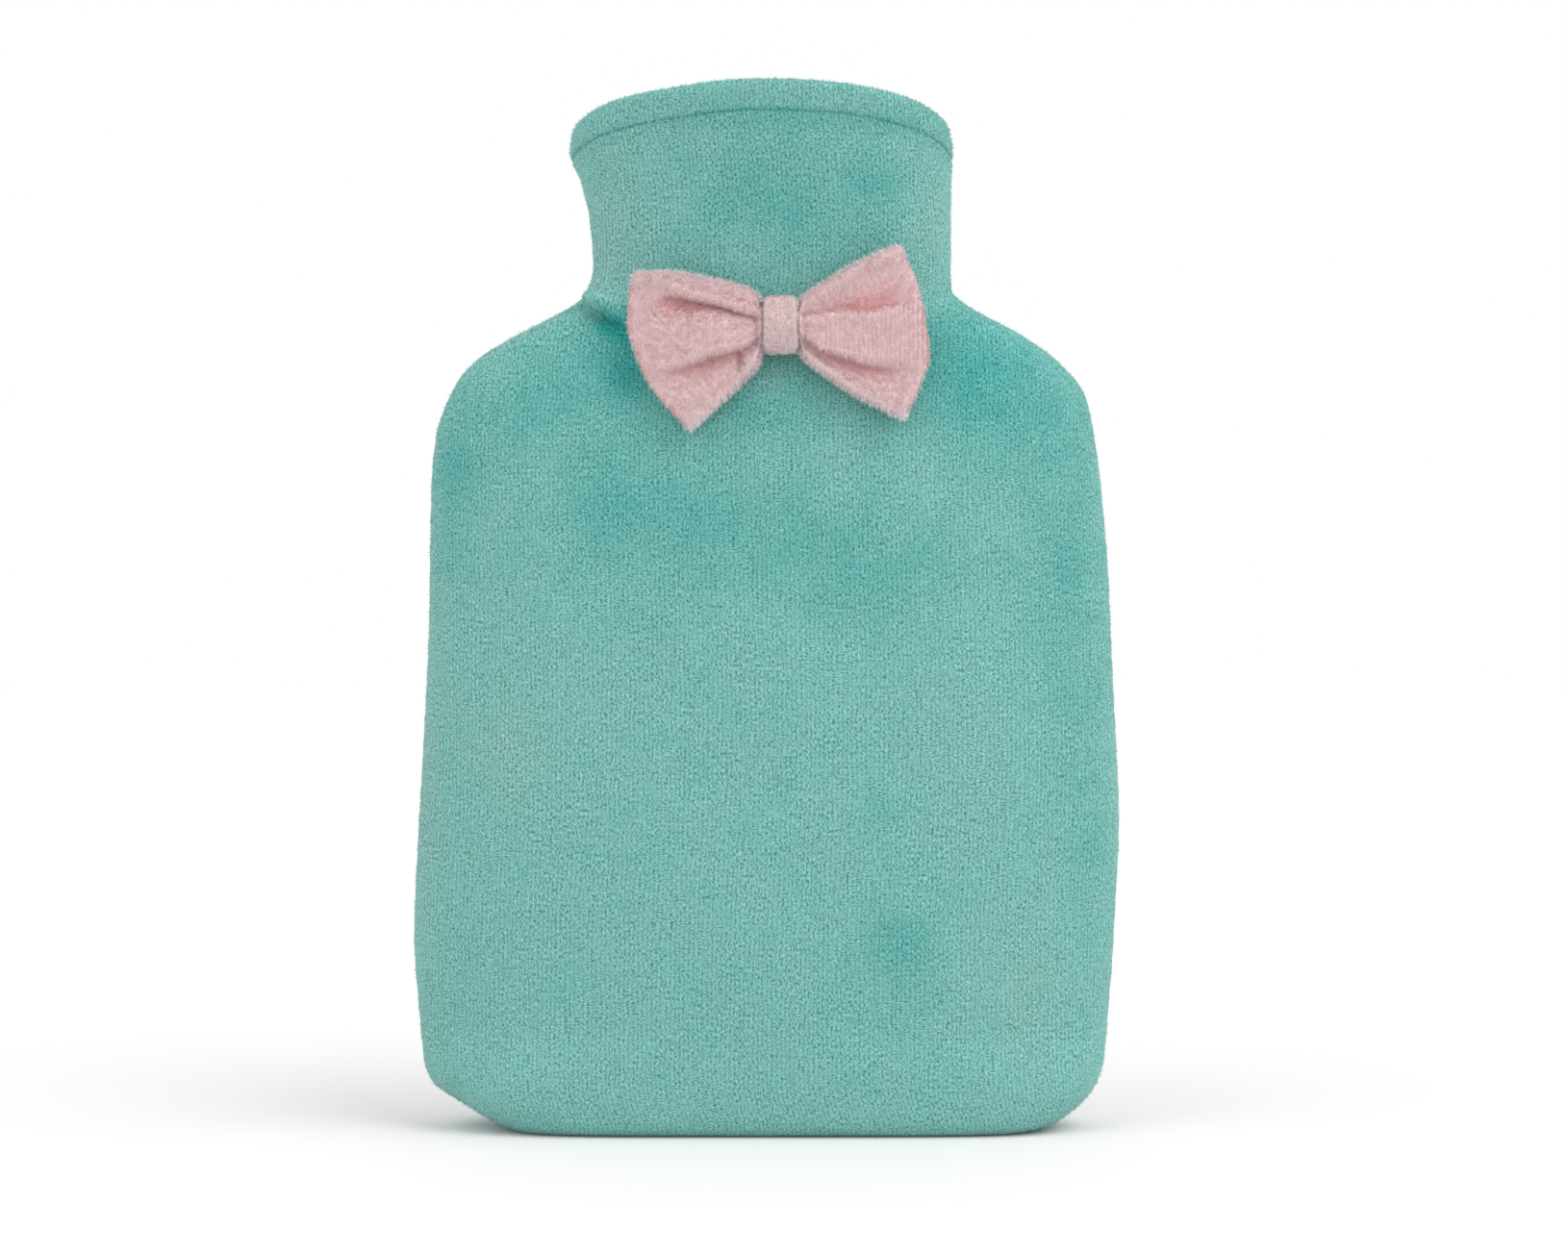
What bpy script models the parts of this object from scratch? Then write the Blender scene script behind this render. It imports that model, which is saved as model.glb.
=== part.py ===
"""Hot water bottle cover in plush velour, standing upright and open at the neck, with a bow at its throat.

The cover is two panels sewn together down the sides and under the foot. It stands in the shape that it has
when it is full, and its hem is the top of each panel turned in to a double layer. The bow is a turned pouch
of cloth, drawn together by a band. All of it faces -Y, +Z is up, and the origin is on the surface that the
cover stands on, under the middle of its box. Lengths in the tables are in millimetres.
"""

import math
from collections import namedtuple

import bmesh
import bpy
import numpy as np

MM = 0.001

# The cloth
CLOTH = 2.4 * MM  # one layer of velour, backing and pile together
GAP = 0.3 * MM  # between pieces that are sewn to each other
HEM = 9.4 * MM  # the turned-in top of a panel, two layers thick

# The sleeve: its horizontal sections, from the foot to the rim over the side seams.
# left and right are how far the cloth reaches from the middle, and depth how far it stands out from the
# side seams, in front and behind.
Section = namedtuple("Section", "height left right depth")
SECTIONS = [
    Section(0.0, 81.2, 86.0, 25.5),
    Section(4.0, 88.0, 93.5, 26.0),
    Section(9.0, 96.5, 98.0, 26.6),
    Section(14.0, 102.5, 101.4, 27.2),
    Section(20.0, 105.0, 103.4, 27.8),
    Section(38.0, 106.8, 105.3, 29.2),
    Section(60.0, 108.0, 106.8, 30.4),
    Section(100.0, 106.2, 107.8, 31.4),
    Section(138.0, 104.2, 106.3, 31.2),
    Section(168.0, 103.4, 104.4, 30.6),
    Section(195.0, 103.0, 102.6, 29.8),
    Section(212.0, 101.4, 100.6, 28.6),
    Section(224.0, 97.2, 98.0, 26.8),
    Section(232.0, 92.4, 92.6, 25.0),
    Section(239.0, 84.4, 84.6, 23.4),
    Section(246.0, 71.4, 72.8, 22.2),
    Section(252.0, 60.8, 61.8, 21.7),
    Section(256.5, 55.2, 57.2, 21.7),
    Section(264.0, 53.2, 56.5, 22.3),
    Section(276.0, 54.2, 56.5, 24.2),
    Section(288.0, 57.0, 56.7, 27.0),
    Section(304.5, 61.4, 56.7, 29.6),
]
FLATNESS = 2.4  # how boxy a section is from side to side: 2 is an ellipse
STITCHING = SECTIONS[-1].height * MM - HEM
FOOT_ROLL = 6 * MM  # radius with which the cloth turns under to the foot
RIM_RISE = 12.3 * MM  # how far the rim's middle stands above its ends at the seams
RISE_FROM = 252 * MM  # the height where the rows start to arch up to the rim
RISE_SHAPE = 1.1  # how sharply the rim dips to the seams: 1 is a plain V from the side
LEFT_DROP = 0.12  # how much less it rises on the left
HEM_SWELL = 0.5 * MM  # how far the double layer stands out
STITCH_DIP = 0.5 * MM  # how far the hem's stitching draws the cloth in
STITCH_REACH = 3.6 * MM
RIM_ROUND = 1.9 * MM  # radius of the rim's two edges

# Folds in the front panel: where the middle of each is, its direction in degrees above +X, its reach along
# and across that direction, and how far it lifts (+) or sinks (-).
Fold = namedtuple("Fold", "x z turn along across lift")
FOLDS = [
    Fold(-46.6, 254.6, -32, 8.0, 4.8, 3.0),  # the roll of cloth at the left of the throat
    Fold(-50.0, 248.2, -32, 8.5, 4.0, -2.6),  # the crease under that roll
    Fold(-43.0, 236.0, -55, 15.0, 8.0, -2.0),  # the hollow beside the bow
    Fold(51.0, 250.0, 42, 9.0, 4.6, -1.5),  # the crease at the right of the throat
    Fold(-92.0, 14.0, 38, 12.0, 5.0, -1.2),  # the nipped corner of the foot
]

# How finely the sleeve is made
AROUND = 44
FOOT_STEPS, CORNER_STEPS, SIDE_STEPS, SHOULDER_STEPS, NECK_STEPS = 4, 4, 11, 11, 4
HEM_ROWS = [-4.5, -2.0, 0.0, 2.0, 4.4, 6.9, 9.4]  # above the stitching

# The bow, seen from the front. Of a wing's points, out is how far from the knot and up how far above it.
KNOT_X, KNOT_HEIGHT = 4.2, 243.0
Point = namedtuple("Point", "out up")
# A pleat pressed into a wing's front: where it runs, its depth, and its reach above and below that line.
PleatPoint = namedtuple("PleatPoint", "out up depth above below")
Wing = namedtuple("Wing", "side top end bottom pleats")
LEFT_WING = Wing(
    side=-1,
    top=[
        Point(5.8, 5.2),
        Point(6.8, 9.0),
        Point(12.1, 12.2),
        Point(22.6, 14.8),
        Point(35.7, 16.8),
        Point(44.4, 16.6),
    ],
    end=[
        Point(27.6, -32.0),
        Point(35.7, -23.8),
        Point(40.9, -16.6),
        Point(44.0, -8.8),
        Point(46.2, -0.3),
        Point(46.0, 7.6),
        Point(44.4, 16.6),
    ],
    bottom=[
        Point(5.8, -5.2),
        Point(6.9, -12.6),
        Point(12.1, -18.4),
        Point(19.3, -24.5),
        Point(27.6, -32.0),
    ],
    pleats=[
        [
            PleatPoint(6.0, 2.0, 2.7, 1.4, 1.4),
            PleatPoint(20.0, 6.4, 4.1, 2.2, 2.4),
            PleatPoint(30.0, 7.6, 5.1, 2.8, 3.4),
            PleatPoint(38.0, 4.8, 2.7, 4.0, 4.0),
            PleatPoint(44.0, 2.0, 0.0, 4.0, 4.0),
        ],
        [
            PleatPoint(6.0, -4.0, 2.4, 1.4, 2.4),
            PleatPoint(20.0, -9.8, 4.1, 2.2, 5.0),
            PleatPoint(30.4, -13.4, 3.0, 2.8, 6.0),
            PleatPoint(42.0, -16.8, 0.0, 3.2, 6.0),
        ],
    ],
)
RIGHT_WING = Wing(
    side=1,
    top=[
        Point(5.8, 5.2),
        Point(6.7, 8.6),
        Point(10.2, 11.2),
        Point(16.7, 15.4),
        Point(23.3, 19.2),
        Point(29.8, 22.0),
        Point(36.6, 25.2),
    ],
    end=[
        Point(37.2, -28.6),
        Point(40.3, -23.2),
        Point(42.9, -17.3),
        Point(45.0, -10.1),
        Point(44.4, -2.2),
        Point(43.4, 5.6),
        Point(42.0, 12.4),
        Point(36.6, 25.2),
    ],
    bottom=[
        Point(5.8, -5.2),
        Point(6.7, -9.0),
        Point(10.2, -12.8),
        Point(16.7, -17.6),
        Point(23.3, -21.8),
        Point(37.2, -28.6),
    ],
    pleats=[
        [
            PleatPoint(6.0, 3.2, 2.4, 1.8, 1.4),
            PleatPoint(15.0, 4.8, 3.5, 3.4, 2.0),
            PleatPoint(24.0, 5.2, 4.6, 5.5, 2.4),
            PleatPoint(31.0, 6.0, 4.1, 7.0, 2.8),
            PleatPoint(41.0, 8.6, 0.8, 7.0, 3.0),
        ],
        [
            PleatPoint(6.0, -3.8, 2.7, 1.4, 2.0),
            PleatPoint(13.4, -9.2, 4.1, 2.0, 4.0),
            PleatPoint(28.5, -13.2, 3.5, 2.6, 5.5),
            PleatPoint(41.0, -14.0, 0.0, 2.8, 5.0),
        ],
    ],
)
STATIONS = [0.0, 0.05, 0.14, 0.30, 0.50, 0.70, 0.88, 1.0]  # along a wing
RING_POINTS = 22  # of the cage, which is then subdivided
WAIST_HEIGHT = 10.4 * MM  # the cloth inside the band
WAIST_THICK = 6.6 * MM
WING_THICK = 9.0 * MM  # the pouch at its fullest
END_THICK = 3.6 * MM  # and near its end, where two layers lie together
BOW_TILT = 0.14  # how far the bow leans back for each metre up
BOW_CURL = 2.4 * MM  # how far its ends bend back
WING_REACH = 44 * MM

# The band round the bow's waist
BAND_WIDTH = 10.8 * MM
BAND_HEIGHT = 17.4 * MM
BAND_DEPTH = 13.2 * MM
BAND_CLOTH = 2.1 * MM
BOW_STANDOFF = 0.5 * MM  # between the band and the throat behind it, which leans
BAND_SWELL = 0.7 * MM  # how far its middle stands out past its edges
BAND_AROUND, BAND_ROWS = 24, 4

MINT = (0.36, 0.66, 0.60, 1.0)
PINK = (0.82, 0.60, 0.62, 1.0)


def clear_scene():
    for obj in list(bpy.data.objects):
        bpy.data.objects.remove(obj, do_unlink=True)


def new_collection(name):
    made = bpy.data.collections.new(name)
    bpy.context.scene.collection.children.link(made)
    return made


def move_to(collection, obj):
    for owner in list(obj.users_collection):
        owner.objects.unlink(obj)
    collection.objects.link(obj)


def velour(name, colour):
    """A soft matt cloth."""
    material = bpy.data.materials.new(name)
    material.use_nodes = True
    shader = material.node_tree.nodes["Principled BSDF"]
    shader.inputs["Base Color"].default_value = colour
    shader.inputs["Roughness"].default_value = 0.9
    shader.inputs["Metallic"].default_value = 0.0
    return material


def new_object(name, points, faces, collection, material=None):
    """A mesh object of these points and faces, shaded smooth."""
    mesh = bpy.data.meshes.new(name)
    mesh.from_pydata([tuple(p) for p in points], [], faces)
    mesh.validate()
    mesh.shade_smooth()
    obj = bpy.data.objects.new(name, mesh)
    collection.objects.link(obj)
    if material:
        mesh.materials.append(material)
    return obj


def through(knots, values, at):
    """A cubic through the knots that never overshoots them, read at these places."""
    knots, values, at = (np.asarray(a, float) for a in (knots, values, at))
    step = np.diff(knots)
    rise = np.diff(values) / step
    slope = np.concatenate([rise[:1], np.zeros(len(knots) - 2), rise[-1:]])
    same = rise[:-1] * rise[1:] > 0
    slope[1:-1][same] = 2 * rise[:-1][same] * rise[1:][same] / (rise[:-1] + rise[1:])[same]
    i = np.clip(np.searchsorted(knots, at) - 1, 0, len(knots) - 2)
    t = (at - knots[i]) / step[i]
    return (
        (1 + 2 * t) * (1 - t) ** 2 * values[i]
        + t * (1 - t) ** 2 * step[i] * slope[i]
        + t * t * (3 - 2 * t) * values[i + 1]
        + t * t * (t - 1) * step[i] * slope[i + 1]
    )


def section(column, heights):
    """A column of SECTIONS at these heights."""
    return through([s.height * MM for s in SECTIONS], [getattr(s, column) * MM for s in SECTIONS], heights)


def smoothstep(value, low, high):
    t = np.clip((value - low) / (high - low), 0, 1)
    return t * t * (3 - 2 * t)


def row_heights():
    """The heights of the sleeve's rows, closer together where it turns."""
    roll = FOOT_ROLL * (1 - np.cos(np.linspace(0, math.pi / 2, FOOT_STEPS + 1)))
    corner = np.linspace(roll[-1], 22 * MM, CORNER_STEPS + 1)[1:]
    side = np.linspace(corner[-1], 212 * MM, SIDE_STEPS + 1)[1:]
    shoulder = np.linspace(side[-1], 262 * MM, SHOULDER_STEPS + 1)[1:]
    hem = STITCHING + np.array(HEM_ROWS) * MM
    neck = np.linspace(shoulder[-1], hem[0], NECK_STEPS + 1)[1:-1]
    return np.concatenate([roll, corner, side, shoulder, neck, hem])


def hem_relief(height):
    """The swell of the double layer above the stitching, and the dip along it."""
    above = height - STITCHING
    swell = HEM_SWELL * smoothstep(above, -STITCH_REACH, STITCH_REACH)
    return swell - STITCH_DIP * np.exp(-((above / STITCH_REACH) ** 2))


def fold_relief(x, z):
    """The lift of all the folds at a place on the front panel: each is a bell along and across its line."""
    lift = np.zeros(np.broadcast(x, z).shape)
    for fold in FOLDS:
        turn = math.radians(fold.turn)
        dx, dz = x - fold.x * MM, z - fold.z * MM
        along = dx * math.cos(turn) + dz * math.sin(turn)
        across = dz * math.cos(turn) - dx * math.sin(turn)
        bell = np.exp(-((along / (fold.along * MM)) ** 2) - (across / (fold.across * MM)) ** 2)
        lift = lift + fold.lift * MM * bell
    return lift


def outer_face(height, turn):
    """Points on the cover's outer face. turn runs from the right seam over the front to the left seam.

    Each height is a superellipse from seam to seam, rolled in at the foot and arched up towards the rim.
    """
    left, right, depth = (section(column, height) for column in ("left", "right", "depth"))
    swell = hem_relief(height)
    half, middle = (left + right) / 2 + swell, (right - left) / 2
    under = np.clip(FOOT_ROLL - height, 0, None)
    depth = depth + swell - (FOOT_ROLL - np.sqrt(FOOT_ROLL**2 - under**2))
    across, out = np.cos(turn), np.sin(turn)
    x = middle + half * np.sign(across) * np.abs(across) ** (2 / FLATNESS)
    rise = RIM_RISE * (1 - LEFT_DROP * smoothstep(-across, 0, 0.45)) * np.abs(out) ** RISE_SHAPE
    z = height + rise * smoothstep(height, RISE_FROM, STITCHING)
    lift = np.where(out > 0, fold_relief(x, z), 0)
    return np.stack([x, -(depth + lift) * out, z], axis=-1)


def ring_faces(rings, around):
    """The quads between neighbouring rings of this many points each."""
    faces = []
    for ring in range(rings - 1):
        low, high = ring * around, (ring + 1) * around
        for i in range(around):
            j = (i + 1) % around
            faces.append((low + i, high + i, high + j, low + j))
    return faces


def strip_faces(around):
    """Strips across a flat ring, from each point of its first half to the point over against it."""
    faces = []
    for i in range(around // 2):
        corners = (i, i + 1, (around - i - 1) % around, (around - i) % around)
        faces.append(tuple(dict.fromkeys(corners)))
    return faces


def sleeve(name, collection, material):
    """The whole cover: an open surface, lofted from its foot up to its rim, with its layers of cloth inside."""
    heights = row_heights()
    turns = np.arange(AROUND) * math.tau / AROUND
    points = outer_face(heights[:, None], turns[None, :]).reshape(-1, 3)
    faces = ring_faces(len(heights), AROUND) + strip_faces(AROUND)
    obj = new_object(name, points, faces, collection, material)
    double = obj.vertex_groups.new(name="double_layer")
    for row, height in enumerate(heights):
        weight = float(smoothstep(height - STITCHING, -STITCH_REACH, STITCH_REACH))
        double.add(list(range(row * AROUND, (row + 1) * AROUND)), weight, "REPLACE")
    layers = obj.modifiers.new("layers_of_cloth", "SOLIDIFY")
    layers.thickness = 2 * CLOTH
    layers.offset = -1
    layers.use_even_offset = True
    layers.vertex_group = double.name
    layers.thickness_vertex_group = 0.5
    rim = obj.modifiers.new("round_rim", "BEVEL")
    rim.width = RIM_ROUND
    rim.segments = 3
    rim.limit_method = "ANGLE"
    rim.angle_limit = math.radians(60)
    return obj


def half_space(name, side, collection):
    """A box that holds everything on one side of the side seams: -1 is the front."""
    depth = 60 * MM
    bpy.ops.mesh.primitive_cube_add(size=1, location=(0, side * (depth + GAP) / 2, 150 * MM))
    box = bpy.context.object
    box.name = name
    box.scale = (300 * MM, depth, 400 * MM)
    box.display_type = "WIRE"
    box.hide_render = True
    move_to(collection, box)
    return box


def panel(name, side, parts, cutters, material):
    """One of the cover's two panels: the half of the sleeve on that side of the seams."""
    obj = sleeve(name, parts, material)
    cut = obj.modifiers.new("cut_at_seam", "BOOLEAN")
    cut.operation = "INTERSECT"
    cut.object = half_space(name + "_side", side, cutters)
    return obj


def curve_at(points, places):
    """(out, up) along a smooth line through these points, with place 0 at its first and 1 at its last."""
    line = np.array(points) * MM
    knots = np.concatenate([[0], np.cumsum(np.hypot(*np.diff(line, axis=0).T))])
    knots /= knots[-1]
    return np.stack([through(knots, line[:, 0], places), through(knots, line[:, 1], places)], axis=-1)


def wing_patch(wing, along, up):
    """(out, up) of the patch between a wing's four edges. along is 0 at the band and up is 0 at the bottom."""
    top, bottom, end = curve_at(wing.top, along), curve_at(wing.bottom, along), curve_at(wing.end, up)
    start = bottom[0] + (top[0] - bottom[0]) * up[:, None]
    a, u = along[:, None, None], up[None, :, None]
    between_edges = (1 - u) * bottom[:, None] + u * top[:, None]
    between_ends = (1 - a) * start[None] + a * end[None]
    corners = (1 - a) * ((1 - u) * bottom[0] + u * top[0]) + a * ((1 - u) * bottom[-1] + u * top[-1])
    return between_edges + between_ends - corners


def pleat_relief(wing, out, up):
    """How far the pleats sink a wing's front: each is a valley whose two sides differ in width."""
    sunk = np.zeros_like(out)
    for pleat in wing.pleats:
        knots = [point.out * MM for point in pleat]
        at = np.clip(out, knots[0], knots[-1])
        line, depth, above, below = (
            through(knots, [getattr(point, column) * MM for point in pleat], at)
            for column in ("up", "depth", "above", "below")
        )
        reach = np.where(up > line, above, below)
        sunk = np.maximum(sunk, depth * np.exp(-(((up - line) / reach) ** 2)))
    return sunk


def wing_rings(wing):
    """Rings of points round a wing, from beside the band to its end: bottom, front, top, back.

    Each ring is thick in the middle and rounded to the wing's top and bottom edges. The bow's middle is y = 0.
    """
    around = np.arange(RING_POINTS) * math.tau / RING_POINTS
    half = RING_POINTS // 2
    along = np.array(STATIONS)
    flat = wing_patch(wing, along, (1 - np.cos(around[: half + 1])) / 2)
    flat = np.concatenate([flat, flat[:, 1:half][:, ::-1]], axis=1)
    out, up = flat[..., 0], flat[..., 1]
    fullness = np.sin(math.pi * along**0.75) ** 0.7
    thick = END_THICK + (WING_THICK - END_THICK) * fullness
    thick += (WAIST_THICK - thick) * (1 - smoothstep(along, 0, 0.12))
    thick *= np.sqrt(1 - smoothstep(along, 0.8, 1.08))
    roundness = 0.5 + 0.5 * (1 - smoothstep(along, 0, 0.2))[:, None]
    lift = thick[:, None] / 2 * np.abs(np.sin(around)) ** roundness
    sunk = pleat_relief(wing, out, up) * np.clip(2 * lift / WING_THICK, 0, 1)
    middle = BOW_TILT * up + BOW_CURL * (out / WING_REACH) ** 2
    y = np.where(np.sin(around) > 0, middle - lift + sunk, middle + lift)
    return np.stack([wing.side * out, y, up], axis=-1)


def waist_ring(x):
    """The ring of the bow's waist at this distance from the knot."""
    around = np.arange(RING_POINTS) * math.tau / RING_POINTS
    ring = [0 * around + x, -WAIST_THICK / 2 * np.sin(around), -WAIST_HEIGHT / 2 * np.cos(around)]
    return np.stack(ring, axis=-1)


def bow_loops(collection, material):
    """Both wings and the waist between them, as one closed pouch: a coarse cage, made smooth."""
    waist = np.array([waist_ring(x * MM) for x in (-4.2, 4.2)])
    rings = np.concatenate([wing_rings(LEFT_WING)[::-1], waist, wing_rings(RIGHT_WING)])
    last = (len(rings) - 1) * RING_POINTS
    left_end = strip_faces(RING_POINTS)
    right_end = [tuple(last + corner for corner in strip[::-1]) for strip in left_end]
    faces = ring_faces(len(rings), RING_POINTS) + left_end + right_end
    obj = new_object("bow_loops", rings.reshape(-1, 3), faces, collection, material)
    smooth = obj.modifiers.new("soft_form", "SUBSURF")
    smooth.levels = 1
    smooth.render_levels = 1
    return obj


def bow_band(collection, material):
    """The band: a short sleeve of cloth round the bow's waist, a little full in its middle."""
    bpy.ops.mesh.primitive_cylinder_add(vertices=BAND_AROUND, radius=0.5, depth=1, end_fill_type="NOTHING")
    obj = bpy.context.object
    obj.name = "bow_band"
    mesh = bmesh.new()
    mesh.from_mesh(obj.data)
    along = [edge for edge in mesh.edges if abs(edge.verts[0].co.z - edge.verts[1].co.z) > 0.5]
    bmesh.ops.subdivide_edges(mesh, edges=along, cuts=BAND_ROWS - 1)
    for vert in mesh.verts:
        across, back, up = vert.co.z, vert.co.y, -vert.co.x
        drawn_in = 2 * BAND_SWELL * (2 * across) ** 2
        vert.co = (BAND_WIDTH * across, (BAND_DEPTH - drawn_in) * back, (BAND_HEIGHT - drawn_in) * up)
    mesh.to_mesh(obj.data)
    mesh.free()
    obj.data.shade_smooth()
    obj.data.materials.append(material)
    cloth = obj.modifiers.new("layer_of_cloth", "SOLIDIFY")
    cloth.thickness = BAND_CLOTH
    cloth.offset = -1
    edge = obj.modifiers.new("soft_edge", "BEVEL")
    edge.width = 0.7 * MM
    edge.segments = 2
    edge.limit_method = "ANGLE"
    edge.angle_limit = math.radians(60)
    move_to(collection, obj)
    return obj


def stand_on_origin(parts, cover):
    """Moves the whole cover so that the origin is under the middle of its box."""
    bpy.context.view_layer.update()
    graph = bpy.context.evaluated_depsgraph_get()
    corners = []
    for obj in parts:
        evaluated = obj.evaluated_get(graph)
        mesh = evaluated.to_mesh()
        co = np.empty(len(mesh.vertices) * 3)
        mesh.vertices.foreach_get("co", co)
        evaluated.to_mesh_clear()
        world = co.reshape(-1, 3) + np.array(obj.matrix_world.translation)
        corners += [world.min(axis=0), world.max(axis=0)]
    low, high = np.min(corners, axis=0), np.max(corners, axis=0)
    cover.location = (-(low[0] + high[0]) / 2, -(low[1] + high[1]) / 2, -low[2])


def main():
    clear_scene()
    parts = new_collection("hot_water_bottle_cover")
    cutters = new_collection("cutters")
    front = panel("front_panel", -1, parts, cutters, velour("front_panel_velour", MINT))
    back = panel("back_panel", 1, parts, cutters, velour("back_panel_velour", MINT))
    loops = bow_loops(parts, velour("bow_loops_velour", PINK))
    band = bow_band(parts, velour("bow_band_velour", PINK))
    throat = float(section("depth", np.array([KNOT_HEIGHT * MM]))[0])
    for obj in (loops, band):
        obj.location = (KNOT_X * MM, -throat - BOW_STANDOFF - BAND_DEPTH / 2, KNOT_HEIGHT * MM)
    cover = bpy.data.objects.new("cover", None)
    parts.objects.link(cover)
    stand_on_origin([front, back, loops, band], cover)
    for obj in [front, back, loops, band, *cutters.objects]:
        obj.parent = cover


main()
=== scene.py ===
"""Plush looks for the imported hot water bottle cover: velour panels with a turned-in hem, and a gathered bow.

Everything is in metres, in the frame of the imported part: the front faces -Y, the cover stands on z = 0.
Tables are in millimetres, measured from the plane of the side seams, which lies at SEAM_PLACE in that frame.
"""

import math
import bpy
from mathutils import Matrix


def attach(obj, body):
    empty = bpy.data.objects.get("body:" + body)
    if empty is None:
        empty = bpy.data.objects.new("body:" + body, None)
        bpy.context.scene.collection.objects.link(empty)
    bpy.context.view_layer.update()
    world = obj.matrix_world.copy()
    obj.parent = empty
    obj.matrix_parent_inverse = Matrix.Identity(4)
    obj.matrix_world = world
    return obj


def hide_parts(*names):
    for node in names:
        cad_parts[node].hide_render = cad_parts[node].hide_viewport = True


bl_info = {
    "name": "Plush Bottle Cover",
    "version": (1, 0, 0),
    "blender": (4, 5, 0),
    "location": "3D View > Sidebar > Cover",
    "description": "Sews a velour hot water bottle cover with a hem and a bow over its packed solids",
    "category": "Object",
}

from collections import namedtuple

import bmesh
import bpy
import numpy as np
from bpy.props import FloatProperty, FloatVectorProperty, IntProperty, PointerProperty

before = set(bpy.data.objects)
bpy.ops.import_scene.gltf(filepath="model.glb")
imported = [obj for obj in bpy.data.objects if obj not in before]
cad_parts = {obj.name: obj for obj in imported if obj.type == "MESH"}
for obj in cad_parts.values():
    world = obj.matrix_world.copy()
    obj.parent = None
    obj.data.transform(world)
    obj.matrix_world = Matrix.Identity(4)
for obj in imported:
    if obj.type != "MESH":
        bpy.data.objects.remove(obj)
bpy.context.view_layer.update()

MM = 0.001
SEAM_PLACE = np.array([0.11, 2.48, 0.0]) * MM

# ---------------------------------------------------------------- the cover's own sizes, in millimetres


def rows_of(kind, *rows):
    """A table whose rows are named tuples of this kind."""
    return [kind(*row) for row in rows]


Section = namedtuple("Section", "height left right depth")
SECTIONS = rows_of(
    Section,
    (0, 79, 84, 25.5), (1, 81.5, 86.3, 25.6), (4, 87.2, 92, 26), (9, 96.3, 98, 26.6),
    (14, 102.5, 101.4, 27.2), (20, 105, 103.4, 27.8), (38, 106.8, 105.3, 29.2), (60, 108, 106.8, 30.4),
    (100, 106.2, 107.8, 31.4), (138, 104.2, 106.3, 31.2), (168, 103.4, 104.4, 30.6),
    (195, 103, 102.6, 29.8), (212, 101.4, 100.6, 28.6), (224, 97.2, 98, 26.8), (232, 91.8, 92, 25),
    (239, 82.6, 83.4, 23.4), (246, 69.8, 71.8, 22.2), (252, 59, 61.2, 21.7), (256.5, 54.6, 57, 21.7),
    (264, 53.2, 56.5, 22.3), (276, 54.2, 56.5, 24.2), (288, 57, 56.7, 27), (297, 60.2, 57, 28.6),
    (304.5, 59, 55.4, 29.4),
)
FLATNESS = 2.4
FOOT_ROLL = 6.0
RIM_RISE, RISE_FROM, RISE_SHAPE, LEFT_DROP = 12.3, 252.0, 1.1, 0.12
HEM = 9.4
STITCHING = SECTIONS[-1].height - HEM
HEM_ROLL = 2.4  # radius with which the cloth turns in at the rim
HEM_INSIDE = 3.0  # how far the turned-in cloth reaches below the stitching
SEAM_GAP, SEAM_ROUND = 0.06, 2.2  # half the slit between the panels, and how round the cloth turns in to it

# Soft folds of the front: middle, direction in degrees above +X, reach along and across it, lift.
Fold = namedtuple("Fold", "x z turn along across lift")
FOLDS = rows_of(
    Fold,
    (-43, 236, -55, 15, 8, -2), (51, 250, 42, 9, 4.6, -1.5), (-92, 14, 38, 12, 5, -1.2),
    (60, 241, 20, 10, 4, 0.6), (-62, 243, -8, 9, 2.2, 0.7), (-30, 225, -75, 18, 2.6, 0.45),
    (-22, 205, 88, 26, 3, 0.35), (18, 217, 70, 14, 3, -0.35), (88, 160, 86, 34, 5, -0.4),
    (42, 286, 60, 7, 4.5, -0.8),
)
BACK_FOLDS = rows_of(
    Fold,
    (46, 244, -40, 14, 5, -1.3), (-48, 243, 36, 13, 4.6, -1.5), (-20, 232, 80, 20, 3.4, 0.5),
    (26, 214, -74, 24, 3.6, 0.45), (-92, 140, 88, 34, 5, -0.4), (90, 16, -36, 12, 5, -0.9),
)
# The lap at the left of the throat: above this line a roll of cloth hangs over the hollow below it.
Lap = namedtuple("Lap", "x z turn along over under lift sink")
THROAT_LAP = Lap(-50.2, 249.9, -32, 9.5, 5.2, 4.6, 3.2, 3.6)
LAP_OVERHANG = 1.5  # how far the roll's lower edge reaches over the hollow

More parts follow.
